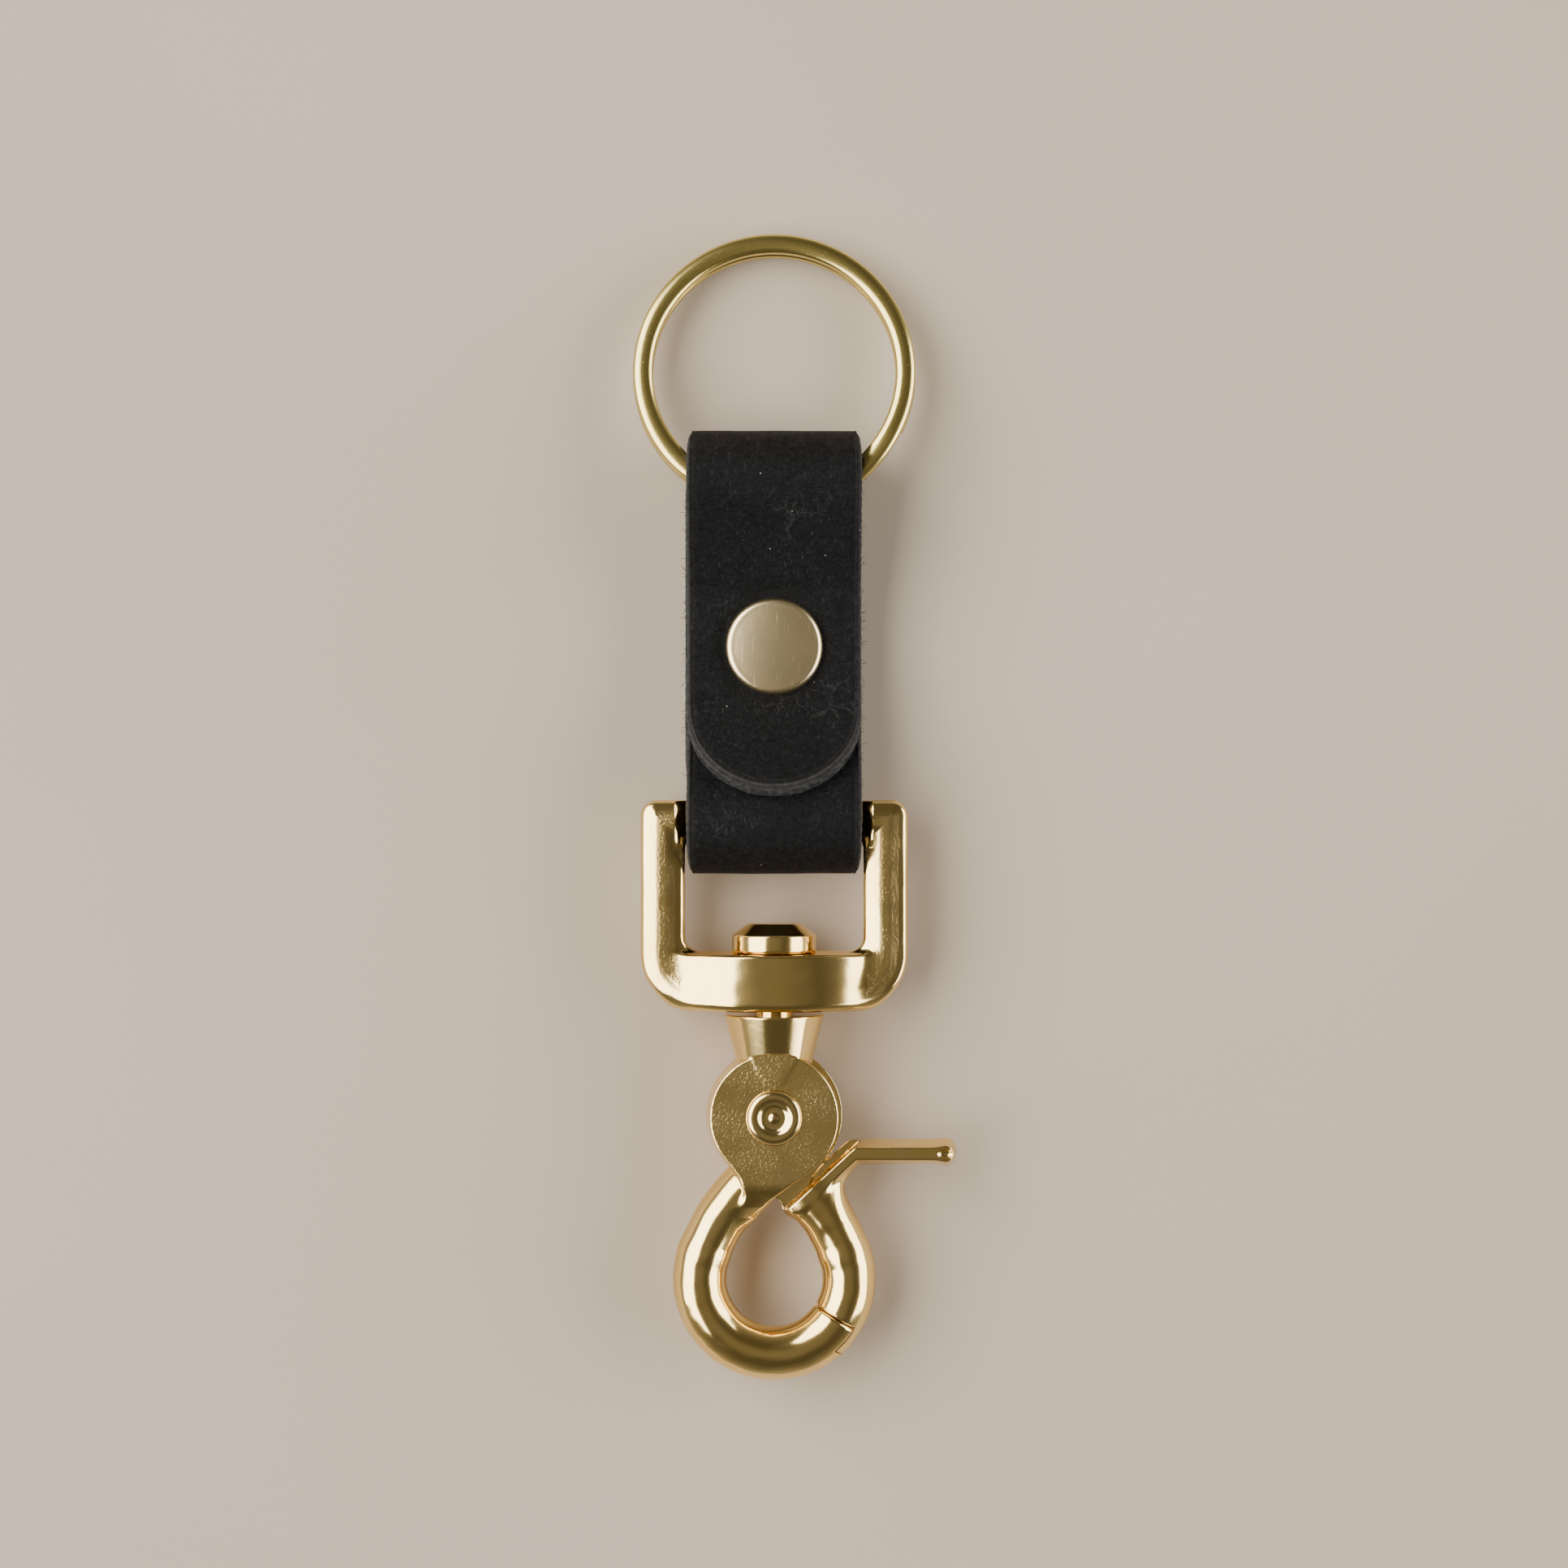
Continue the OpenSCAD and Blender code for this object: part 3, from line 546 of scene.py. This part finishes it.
front_shape = cap_profile(0.30)[::-1]
front_cap = turned("rivet_front", np.array([axis_x, rivet_y, front_low[2]]), "z", front_shape, champagne)
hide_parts("rivet_front_cap")
back_shape = [(r, cap_h - h) for r, h in cap_profile(0.06)]
back_cap = turned("rivet_back", np.array([axis_x, rivet_y, back_low[2]]), "z", back_shape, champagne)
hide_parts("rivet_back_cap")
for cap in (front_cap, back_cap):
    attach(cap, "strap")
drawn_brass = cap_finish("drawn brass", (0.76, 0.62, 0.32, 1), (0.60, 0.46, 0.22, 1))
for inner in ("rivet_socket", "rivet_post"):
    coat(inner, drawn_brass)

# ---------------------------------------------------------------- key ring
# A split ring: flattened brass wire wound twice round, hardened, and polished in a drum. The wire steps
# from one turn to the other near its two ends, and fine rolling lines run along it.


def rolled_brass():
    material, tree, place = finish_tree("rolled brass")
    lines = tree.node("ShaderNodeTexNoise", {"noise_dimensions": "1D"},
                      {"W": point_value(tree, "across"), "Scale": 26.0, "Detail": 4.0})
    cloud = noise(tree, place, 180.0)
    speck = cells(tree, place, 1500.0).step(0.02, 0.08)
    tone = lines.step(0.35, 0.7) * 0.5 + cloud * 0.3
    colour = tone.mix((0.80, 0.65, 0.24, 1), (0.66, 0.51, 0.15, 1))
    relief = bump(tree, lines * 0.8 + cloud * 0.8 + speck * 0.3, 0.22, 0.00005)
    metal(tree, colour, 0.15 + lines * 0.12 + (1 - speck) * 0.2, relief)
    return material


def wire_tree(material):
    """A wire with a full, flattened section along a line. The value across runs round the section."""
    sizes = [("Width", "Float", 0.0022), ("Height", "Float", 0.00144), ("Fullness", "Float", 0.80),
             ("Sides", "Int", 56)]
    tree, add, given = geometry_tree("flattened wire", sizes)
    line = add("GeometryNodeMeshToCurve", None, {"Mesh": given["Geometry"]})
    level = add("GeometryNodeSetCurveNormal", {"mode": "Z_UP"}, {"Curve": line})
    ring = add("GeometryNodeCurvePrimitiveCircle", None, {"Resolution": given["Sides"], "Radius": 1.0})
    place = add("GeometryNodeInputPosition")
    fuller = []
    for name, width in (("X", "Width"), ("Y", "Height")):
        value = add("ShaderNodeSeparateXYZ", None, {"Vector": place}, out=name)
        size = value.maths("ABSOLUTE", value) ** given["Fullness"]
        fuller.append(value.maths("SIGN", value) * size * given[width] * 0.5)
    shaped = add("ShaderNodeCombineXYZ", None, {"X": fuller[0], "Y": fuller[1]})
    section = add("GeometryNodeSetPosition", None, {"Geometry": ring, "Position": shaped})
    order = add("GeometryNodeInputIndex")
    fold_back = order.maths("PINGPONG", order.maths("DIVIDE", order, given["Sides"]), 0.5)
    marked = add("GeometryNodeStoreNamedAttribute", {"data_type": "FLOAT", "domain": "POINT"},
                 {"Geometry": section, "Name": "across", "Value": fold_back})
    wire = add("GeometryNodeCurveToMesh", None, {"Curve": level, "Profile Curve": marked, "Fill Caps": True})
    return end_tree(tree, add("GeometryNodeSetShadeSmooth", None, {"Geometry": wire}), material)


ring_od, wire_w, wire_h, turn_pitch, jog_angle, jog_half = 30.8, 2.2, 1.44, 1.5, -48.0, 22.0
# The wire hangs free in the fold: how far the ring's middle is from its joint, and how much it leans.
ring_centre, ring_tilt = 12.33365, 8.66199


def ring_line():
    """Two turns: low, a smooth step up at the jog, then high, a little spread by the winding."""
    turn = np.linspace(jog_half + 1, 720 - jog_half - 1, 560)
    t = np.clip((turn - 360 + jog_half) / (2 * jog_half), 0, 1)
    rise = t * t * (3 - 2 * t) - 0.5
    radius = (ring_od - wire_w) / 2 - 0.05 * (rise + 0.5) + 0.02 * np.sin(np.radians(turn * 3 + 40))
    way = np.radians(turn + jog_angle)
    return np.stack([radius * np.cos(way), radius * np.sin(way), turn_pitch * rise], 1)


key_ring = grown("split_ring", ring_line(), wire_tree(rolled_brass()),
                 {"Width": wire_w / 1000, "Height": wire_h / 1000})
key_ring.data.set_sharp_from_angle(angle=math.radians(50))
key_ring.data.transform(Matrix.Translation(Vector([axis_x, *ring_turn[1:]]) / 1000)
                        @ Matrix.Rotation(math.radians(-ring_tilt), 4, "X")
                        @ Matrix.Translation((0, ring_centre / 1000, 0)))
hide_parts("key_ring")
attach(key_ring, "ring")

# ---------------------------------------------------------------- swivel frame
# The square loop that the strap hangs on, cast in one with its boss, tumbled and gold plated. Its side bars
# have a narrow flat between two sloping facets, and the boss bulges where the stud turns in it.


def cast_plate():
    """Plate over a tumbled casting: pitted marks flats with the mould's pits, creased marks the dark lines of
    painted shade along the edges of the bars' flat.
    """
    material, tree, place = finish_tree("gold plated casting")
    marked, creased = point_value(tree, "pitted"), point_value(tree, "creased")
    cloud = noise(tree, place, 210.0)
    patch = noise(tree, place, 300.0, 2.0).step(0.30, 0.62)
    peel = noise(tree, place, 1500.0, 2.0)
    pits = cells(tree, place, 2300.0).step(0.02, 0.42)
    coarse = noise(tree, place, 3400.0, 3.0, 0.6).step(0.30, 0.62)
    pitted = marked * (0.55 + patch * 0.45)
    colour = cloud.step(0.3, 0.7).mix((0.94, 0.70, 0.29, 1), (0.91, 0.65, 0.24, 1))
    # Pits and painted shade: the pitted flats are painted darker brown, and the mould's pits are painted
    # darkest.
    worn = (pitted * (0.25 + (1 - pits) * 0.45)).mix(colour, (0.52, 0.38, 0.16, 1))
    # Painted shade: the creased lines are darkened to a near-black brown.
    crease_shaded = (creased * 0.85).mix(worn, (0.16, 0.10, 0.035, 1))
    height = cloud * 0.30 * (1 - marked * 0.8) + peel * 0.07 + pitted * (pits * 0.16 + coarse * 0.22)
    rough = 0.12 + cloud * 0.04 + pitted * 0.08 + (1 - pits) * pitted * 0.12 + creased * 0.15
    metal(tree, crease_shaded, rough, bump(tree, height, 0.55, 0.00010))
    return material


plate = cast_plate()


def fuse(a, b, blend):
    """Two solids joined, with a hollow fillet between them."""
    share = np.clip(0.5 + 0.5 * (b - a) / blend, 0, 1)
    return b + (a - b) * share - blend * share * (1 - share)


def meet(a, b, edge):
    """What two solids share, with the edge between their faces rounded to a radius."""
    return np.minimum(np.maximum(a, b), -edge) + np.hypot(np.maximum(a + edge, 0), np.maximum(b + edge, 0))


def rounded_box(x, y, centre, half, radius):
    u, v = np.abs(x - centre[0]) - half[0] + radius, np.abs(y - centre[1]) - half[1] + radius
    return np.minimum(np.maximum(u, v), 0) + np.hypot(np.maximum(u, 0), np.maximum(v, 0)) - radius


def cast(name, distance, low, high, cell, material, flats):
    """A closed mesh of the solid whose signed distance is given, in millimetres round the pivot pin.

    The faces that look straight ahead, at a depth that flats gives, are marked as pitted."""
    blocks = np.ceil((high - low) / cell / 4).astype(int)
    axes = [low[k] + cell * np.arange(4 * blocks[k]) for k in range(3)]
    mids = [low[k] + cell * (4 * np.arange(blocks[k]) + 1.5) for k in range(3)]
    # One value for each 4 x 4 x 4 block, then every value near the surface.
    rough = distance(*(g.ravel() for g in np.meshgrid(*mids, indexing="ij"))).reshape(blocks)
    value = rough.repeat(4, 0).repeat(4, 1).repeat(4, 2)
    near = (np.abs(rough) < 4.5 * cell).repeat(4, 0).repeat(4, 1).repeat(4, 2)
    i, j, k = np.nonzero(near)
    value[i, j, k] = distance(axes[0][i], axes[1][j], axes[2][k])
    solid = value < 0
    shape = np.array(value.shape)
    total, hits = np.zeros((*(shape - 1), 3)), np.zeros(shape - 1)
    quads = []
    for axis in range(3):
        spot = np.argwhere(np.diff(solid, axis=axis))
        d0, d1 = value[tuple(spot.T)], value[tuple((spot + np.eye(3, dtype=int)[axis]).T)]
        where = spot.astype(float)
        where[:, axis] += d0 / (d0 - d1)
        u, v = [k for k in range(3) if k != axis]
        around = []
        for du, dv in ((0, 0), (1, 0), (1, 1), (0, 1)):
            box = spot.copy()
            box[:, u] -= du
            box[:, v] -= dv
            around.append(box)
            fits = np.all((box >= 0) & (box < shape - 1), 1)
            np.add.at(total, tuple(box[fits].T), where[fits])
            np.add.at(hits, tuple(box[fits].T), 1)
        quads.append((np.stack(around, 1), d0 < 0, axis))
    used = hits > 0
    index = np.full(used.shape, -1)
    index[used] = np.arange(used.sum())
    points = low + cell * total[used] / hits[used][:, None]
    faces = []
    # Four cells meet round each crossed edge, and their points make a quad.
    for around, inside_first, axis in quads:
        corners = index[tuple(around.reshape(-1, 3).T)].reshape(-1, 4)
        flip = ~inside_first if axis != 1 else inside_first
        corners[flip] = corners[flip][:, ::-1]
        faces.append(corners)
    # Each point is drawn onto the surface along its slope, which is also its normal.
    step = 0.02
    for _ in range(3):
        here = distance(*points.T)
        slope = np.stack([(distance(*(points + step * e).T) - distance(*(points - step * e).T)) / (2 * step)
                          for e in np.eye(3)], 1)
        square = np.maximum((slope ** 2).sum(1), 0.15)
        points -= np.clip(here / square, -cell, cell)[:, None] * slope * 0.9
    normals = slope / np.linalg.norm(slope, axis=1)[:, None]
    ahead = np.clip((np.abs(normals[:, 2]) - 0.93) / 0.06, 0, 1)
    level = ahead * (np.abs(np.abs(points[:, 2]) - flats) < 0.25)
    points += pin_spot
    piece = flat_mesh(name, points, np.concatenate(faces).tolist(), material, 180.0)
    mark(piece, "pitted", level)
    piece.data.normals_split_custom_set_from_vertices(normals.tolist())
    return piece


pin_y, snap_z = middle("pivot_pin")[1], joint_place("gate_pivot")[2]
pin_spot = np.array([axis_x, pin_y, snap_z])
frame_low, frame_high = node_box("swivel_frame", pin_spot)
boss_low, frame_top = frame_low[1], frame_high[1]
frame_half = frame_high[0]
boss_l, boss_half_t, boss_bore_r, lens_r = 6.2, 4.7, 2.05, 20.0
boss_high = boss_low + boss_l
bar_side, bar_t, bar_d = 4.8, 4.0, 3.0
window_half = frame_half - bar_side
# The bars' flat: how far in from the outline its middle lies, half its width, and the slope beside it.
flat_in, flat_half, facet_angle = 2.4, 0.5, math.radians(17)


def frame_outline(x, y):
    corner = np.where(y > (boss_low + frame_top) / 2, 1.7, 6.2)
    half = (frame_half, (frame_top - boss_low) / 2)
    return rounded_box(x, y, (0, (boss_low + frame_top) / 2), half, corner)


def frame_shape(x, y, z):
    outer = frame_outline(x, y)
    window_mid = (boss_high + frame_top - bar_d) / 2
    corner = np.where(y > window_mid, 2.4, 1.9)
    half = (window_half, (frame_top - bar_d - boss_high) / 2)
    window = rounded_box(x, y, (0, window_mid), half, corner)
    rough = 0.030 * wave(x + 0.4 * z, y, 3.2, 1.0)
    # The bars: 4 mm deep at the sides, 3 mm and round at the top.
    high_up = np.clip((y - (frame_top - 5.2)) / 1.2, 0, 1)
    top_bar = high_up * np.clip((window_half + 1.0 - np.abs(x)) / 1.1, 0, 1)
    deep = bar_t / 2 - 0.5 * top_bar
    bars = meet(meet(outer, np.abs(z) - deep, 1.4 + 0.05 * top_bar), -window, 1.3 + 0.15 * top_bar)
    beside = (np.abs(outer + flat_in) - flat_half) * math.sin(facet_angle)
    facet = (np.abs(z) - deep) * math.cos(facet_angle) + beside
    bars = meet(bars, facet - 1.5 * top_bar, 0.10)
    # The boss: two wide arcs front and back, with softened long edges.
    ahead, behind = np.hypot(x, z + lens_r - boss_half_t), np.hypot(x, z - lens_r + boss_half_t)
    lens = np.maximum(ahead, behind) - lens_r
    swell = 0.28 * np.exp(-(x / 6.5) ** 2)
    block = np.abs(y + swell / 2 - (boss_low + boss_high) / 2) - (boss_high - boss_low + swell) / 2
    boss = meet(meet(lens, block, 0.42), outer - swell, 1.2)
    bore = boss_bore_r - np.hypot(x, z)
    return meet(fuse(bars, boss, 1.1) + rough, bore, 0.12) * 0.95


pad = 0.6
swivel_frame = cast("cast_frame", frame_shape, frame_low - pad, frame_high + pad, 0.14, plate, bar_t / 2)
# Painted shade: dark lines along both edges of the bars' flat, a little uneven.
spot_x, spot_y, spot_z = (np.array([v.co for v in swivel_frame.data.vertices]) * 1000 - pin_spot).T
from_middle = np.abs(frame_outline(spot_x, spot_y) + flat_in + 0.06 * wave(spot_x, spot_y, 1.9, 5.0))
on_bars = np.clip((np.abs(spot_z) - 1.5) / 0.2, 0, 1) * np.clip((2.3 - np.abs(spot_z)) / 0.2, 0, 1)
mark(swivel_frame, "creased", np.exp(-((from_middle - flat_half) / 0.11) ** 2) * on_bars)
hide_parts("swivel_frame")
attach(swivel_frame, "frame")

# ---------------------------------------------------------------- swivel stud
# The turned stud that the hook swivels on: a stepped head inside the window, and a shank through the boss
# that is set in the snap's collar. Plated with the casting.

(_, stud_end, _), (_, head_top, _) = node_box("swivel_stud", pin_spot)
head_low = head_top - 3.2
shank_r, head_r = 2.0, 4.6
stud_profile = [(0.0, stud_end), (1.7, stud_end), (shank_r, stud_end + 0.3), (shank_r, head_low),
                (4.35, head_low), (head_r, head_low + 0.25), (head_r, head_low + 1.85),
                (4.45, head_low + 2.02), (2.95, head_top - 0.05), (2.75, head_top), (0.0, head_top)]
swivel_stud = turned("turned_stud", pin_spot, "y", rounded(stud_profile, 0.12), plate)
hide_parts("swivel_stud")
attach(swivel_stud, "hook")

# ---------------------------------------------------------------- hook
# The fixed half of the snap: one casting of the collar, the front pivot disc with its tail, and the round
# bar from the tail down the left side to the seam. Its face is pitted, and its edges are bright.

disc_r, disc_half, disc_gap, plane_reach, seam_angle = 6.9, 3.5, 0.3, 8.3, -31.0
loop_drop, arm_r, arm_thick, collar_top = 17.7, 8.1, 2.9, 10.9
# The arc that leads the arm from the loop up to the disc, and the groove that the spring lies in.
lead_x, lead_y, lead_r = 11.182, -21.770, 20.0
groove_r, groove_half, groove_deep = 3.175, 0.775, 1.25
shank_bore_r, shank_bore_end = 2.03, 7.7


def rail(x, y, corners):
    """Distance to an open line of straight runs."""
    far = np.full(x.shape, 1e9)
    for (ax, ay), (bx, by) in zip(corners, corners[1:]):
        ex, ey = bx - ax, by - ay
        t = np.clip(((x - ax) * ex + (y - ay) * ey) / (ex * ex + ey * ey), 0, 1)
        far = np.minimum(far, np.hypot(x - ax - ex * t, y - ay - ey * t))
    return far


def outlined(x, y, corners):
    """Signed distance to a flat outline."""
    closed = corners + corners[:1]
    odd = np.zeros(x.shape, bool)
    for (ax, ay), (bx, by) in zip(closed, closed[1:]):
        if by != ay:
            odd ^= ((ay > y) != (by > y)) & (x < ax + (y - ay) * (bx - ax) / (by - ay))
    far = rail(x, y, closed)
    return np.where(odd, -far, far)


def bent_bar(x, y, z, centre, radius, start, end, thick):
    """Signed distance to a round bar bent on an arc."""
    mid, half = math.radians((start + end) / 2), math.radians((end - start) / 2)
    turn = np.arctan2(y - centre[1], x - centre[0])
    turn = mid + np.clip((turn - mid + math.pi) % (2 * math.pi) - math.pi, -half, half)
    return np.sqrt((x - centre[0] - radius * np.cos(turn)) ** 2 + (y - centre[1] - radius * np.sin(turn)) ** 2
                   + z ** 2) - thick


def tail_disc(x, y):
    """The pivot disc and its tail, which runs out over the arm on the left."""
    disc = np.hypot(x, y) - disc_r
    tail = [(0, 0), (4.25, -5.44), (1.6, -7.40), (-0.6, -9.05), (-1.7, -9.95), (-2.55, -10.75),
            (-3.05, -10.9), (-3.15, -10.2), (-3.07, -8.94), (-3.15, -8.0), (-3.70, -6.5), (-4.75, -5.05),
            (-6.05, -3.3)]
    return fuse(disc, outlined(x, y, tail), 0.15)


def other_half(x, y, z):
    """Negative where the other casting's disc sweeps: behind the middle, round the disc or above a plane."""
    turn = math.radians(-132.5)
    plane = x * math.cos(turn) + y * math.sin(turn) - plane_reach
    region = np.minimum(np.hypot(x, y) - disc_r - disc_gap, plane)
    return np.maximum(np.maximum(region, y - disc_r - disc_gap), z - 0.05)


def half_disc(x, y, z):
    """A pivot disc with its tail in front of the middle. Its sides are drafted, and its tail thins out."""
    draft = np.clip((disc_half - z) / disc_half, 0, 1) * (0.26 + 0.22 * np.clip(-x / 4, -0.6, 1))
    sink = 0.13 * np.clip(-6.9 - y, 0, 4) ** 2
    return meet(meet(tail_disc(x, y) - draft, z - disc_half + sink, 0.16), 0.05 - z, 0.08)


def bored(body, x, y, z, hole_r):
    """A casting with the pin's hole, and half of the groove round it for the spring."""
    groove = np.maximum(np.abs(np.hypot(x, y) - groove_r) - groove_half, z - groove_deep)
    return np.maximum(np.maximum(body, hole_r - np.hypot(x, y)), -groove)


def seam_side(x, y):
    """Negative on the hook's side of the seam, and all over the loop's left half."""
    turn = math.radians(seam_angle)
    return np.minimum(-x * math.sin(turn) + (y + loop_drop) * math.cos(turn), x)


def lip_zone(x, y):
    """Negative in the rebate at the tip's outside, which the gate's thin lip lies in."""
    radius = np.hypot(x, y + loop_drop)
    along = radius * np.sin(np.arctan2(y + loop_drop, x) - math.radians(seam_angle))
    return np.maximum(np.maximum(np.maximum(10.05 - radius, -3.1 - along), along - 1.0), 2.0 - x)


def hook_shape(x, y, z):
    rough = 0.028 * wave(x, y + 0.5 * z, 2.6, 2.0)
    arm = bent_bar(x, y, z, (0, -loop_drop), arm_r, 160, 360 + seam_angle, arm_thick)
    lead = bent_bar(x, y, z, (lead_x, lead_y), lead_r, 131, 160.5, arm_thick - 0.05)
    arm = fuse(arm, lead, 0.3) + rough
    seam = seam_side(x, y) + 0.06
    lip = lip_zone(x, y) - 0.07
    arm = meet(meet(arm, seam, 0.35), -lip, 0.12)
    cone_r = 4.4 + 0.25 * (y - disc_r)
    collar = meet(meet((np.hypot(x, z) - cone_r) * 0.97, y - collar_top, 0.22), 2.0 - y, 0.1)
    flat = np.maximum(np.hypot(x, y) - disc_r, disc_half - z)
    body = fuse(arm, collar, 0.4)
    body = meet(body, -flat, 0.10)
    body = meet(body, -other_half(x, y, z), 0.12)
    body = fuse(body, half_disc(x, y, z), 0.22 + 1.5 * np.clip((-7.9 - y) / 1.8, 0, 1))
    bore = np.maximum(np.hypot(x, z) - shank_bore_r, shank_bore_end - y)
    return np.maximum(bored(body, x, y, z, 1.55), -bore) * 0.95


hook_low, hook_high = node_box("hook_body", pin_spot)
hook_body = cast("cast_hook", hook_shape, hook_low - pad, hook_high + pad, 0.14, plate, disc_half)
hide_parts("hook_body")
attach(hook_body, "hook")

# ---------------------------------------------------------------- gate
# The moving half of the snap: the back pivot disc, the shoulder under the slot, the short arm that closes
# the loop at the seam, and the thumb lever, all one casting. A thin lip laps the hook's tip from outside.

gate_low, gate_high = node_box("gate", pin_spot)
lever_end, lever_y, lever_half = gate_high[0], -4.0, 2.4


def gate_shape(x, y, z):
    rough = 0.028 * wave(x, y - 0.5 * z, 2.6, 4.0)
    arm = bent_bar(x, y, z, (0, -loop_drop), arm_r, seam_angle - 30, 20, arm_thick)
    lead = bent_bar(x, y, z, (-lead_x, lead_y), lead_r, 19.5, 49, arm_thick - 0.05)
    seam = 0.06 - seam_side(x, y)
    lip = np.maximum(lip_zone(x, y) + 0.05, arm)
    arm = np.minimum(meet(arm, seam, 0.30), lip)
    arm = fuse(arm, lead, 0.3) + rough
    # The shoulder and the lever: one rail with a narrow front face and sloping sides.
    spine = rail(x, y, [(2.25, -9.75), (3.3, -8.85), (7.75, -4.75), (8.6, lever_y),
                        (lever_end - 1.3, lever_y)])
    narrow = 0.70 + 0.66 * np.clip(1 - np.abs(z) / lever_half, 0, 1)
    bead = 0.22 * np.exp(-((x - lever_end + 1.0) / 0.9) ** 2)
    lever = meet(spine - narrow - bead, np.abs(z) - lever_half, 0.22)
    web = [(2.0, -10.2), (3.2, -8.7), (7.6, -4.6), (9.3, -4.4), (8.2, -6.0), (7.35, -7.6), (7.3, -9.2),
           (7.6, -11.4), (5.0, -12.0)]
    web_deep = 1.9 - 0.25 * np.clip((x - 6) / 2, 0, 1)
    block = meet(outlined(x, y, web), np.abs(z) - web_deep, 0.8)
    body = fuse(fuse(arm, block, 1.5), lever, 0.8)
    # The gate's disc is the hook's, turned half round the snap's long axis.
    body = meet(body, -other_half(-x, y, -z), 0.16)
    body = bored(fuse(body, half_disc(-x, y, -z), 0.22), x, y, -z, 1.56)
    dimple = 0.55 - np.sqrt((x - lever_end + 1.25) ** 2 * 0.35 + (y - lever_y) ** 2 + (z - 2.62) ** 2)
    return meet(body, dimple, 0.08) * 0.95


gate = cast("cast_gate", gate_shape, gate_low - pad - [0.6, 3.0, 0], gate_high + pad, 0.13, plate, disc_half)
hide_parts("gate")
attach(gate, "gate")

# ---------------------------------------------------------------- pivot pin
# The rivet that the gate turns on. Both its heads are spun over the discs by a tool that leaves a dished
# middle with a small nub. Plated and polished.

head_rise = node_box("pivot_pin", pin_spot)[1][2] - disc_half


def head_profile(face, direction):
    """From the axis outwards: nub, dish, rounded ring, edge."""
    knots = [(0.0, 0.50), (0.22, 0.47), (0.42, 0.34), (0.60, 0.24), (0.90, 0.20), (1.20, 0.24), (1.45, 0.40),
             (1.65, 0.60), (1.90, 0.78), (2.20, 0.86), (2.48, 0.82), (2.74, 0.64), (2.92, 0.36), (3.0, 0.0)]
    radius, height = np.array(knots).T
    fine = np.linspace(0, len(knots) - 1, 60)
    spots = np.arange(len(knots))
    smooth_r, smooth_h = np.interp(fine, spots, radius), np.interp(fine, spots, height)
    for _ in range(2):
        smooth_h[1:-1] = (smooth_h[:-2] + 2 * smooth_h[1:-1] + smooth_h[2:]) / 4
    rise = head_rise / max(height)
    return [(float(r), face + direction * float(h) * rise) for r, h in zip(smooth_r, smooth_h)]


pin_finish = cap_finish("polished plate", (0.92, 0.69, 0.30, 1), (0.86, 0.61, 0.24, 1), 0.10)
front_head = head_profile(disc_half, 1)
back_head = head_profile(-disc_half - 0.05, -1)
pin_r = 1.5
pin_profile = back_head + [(pin_r, -disc_half - 0.05), (pin_r, disc_half)] + front_head[::-1]
pin = turned("spun_pin", pin_spot, "z", pin_profile, pin_finish)
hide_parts("pivot_pin")
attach(pin, "hook")

# ---------------------------------------------------------------- gate spring
# The small torsion spring of drawn steel wire that lies round the pin, between the two discs, and keeps
# the gate shut.


def drawn_steel():
    material, tree, place = finish_tree("drawn spring steel")
    cloud = noise(tree, place, 900.0)
    colour = cloud.step(0.3, 0.7).mix((0.56, 0.56, 0.57, 1), (0.42, 0.42, 0.43, 1))
    metal(tree, colour, 0.28 + cloud * 0.12, bump(tree, noise(tree, place, 5000.0), 0.15, 0.00003))
    return material


coat("gate_spring", drawn_steel())

# ---------------------------------------------------------------- floor, light and camera
# The object lies on its back on a pale matt table. Large soft boxes stand to its left and right, the room
# is dim, and the camera looks straight down.


def table_top():
    material, tree, place = finish_tree("pale table")
    cloud = noise(tree, place, 9.0)
    colour = cloud.step(0.3, 0.7).mix((0.44, 0.37, 0.295, 1), (0.42, 0.35, 0.28, 1))
    surface(tree, {"Base Color": colour, "Roughness": 0.9, "Specular IOR Level": 0.1})
    return material


reach, below = 3000, -0.02
floor = flat_mesh("table", [(-reach, -reach, below), (reach, -reach, below), (reach, reach, below),
                            (-reach, reach, below)], [(0, 1, 2, 3)], table_top())


def soft_box(name, place, width, height, power, tint):
    lamp = bpy.data.lights.new(name, "AREA")
    lamp.shape = "RECTANGLE"
    lamp.size, lamp.size_y = width, height
    lamp.energy = power
    lamp.color = tint
    made = placed(name, lamp)
    made.location = place
    made.rotation_mode = "QUATERNION"
    made.rotation_quaternion = (-Vector(place)).to_track_quat("-Z", "Y")


soft_box("left soft box", (-0.69, 0.12, 0.65), 1.40, 0.85, 30.0, (1.0, 0.97, 0.91))
soft_box("right soft box", (0.85, 0.0, 0.40), 1.10, 0.60, 15.0, (1.0, 0.98, 0.95))

room = bpy.data.worlds.new("dim room")
room.use_nodes = True
room.node_tree.nodes.clear()
sky = Shade(room.node_tree)
way = sky.node("ShaderNodeTexCoord", out="Generated")
height = sky.node("ShaderNodeSeparateXYZ", None, {"Vector": way}, out="Z")
tints = [(0.0, (0.42, 0.39, 0.33)), (0.35, (0.18, 0.165, 0.13)), (0.72, (0.085, 0.078, 0.056)),
         (0.9, (0.10, 0.09, 0.065)), (1.0, (0.20, 0.185, 0.14))]
tone = sky.node("ShaderNodeValToRGB", {"stops": tints}, {"Fac": height})
light = sky.node("ShaderNodeBackground", None, {"Color": tone, "Strength": 1.0})
sky.node("ShaderNodeOutputWorld", None, {"Surface": light})
bpy.context.scene.world = room

camera = placed("camera", bpy.data.cameras.new("camera"))
camera.data.lens = 75.0
camera.data.sensor_width = 36.0
camera.data.clip_start = 0.01
camera.location = ((axis_x + 1.06) / 1000, (pin_y + 35.85) / 1000, snap_z / 1000 + 0.354)
bpy.context.scene.camera = camera
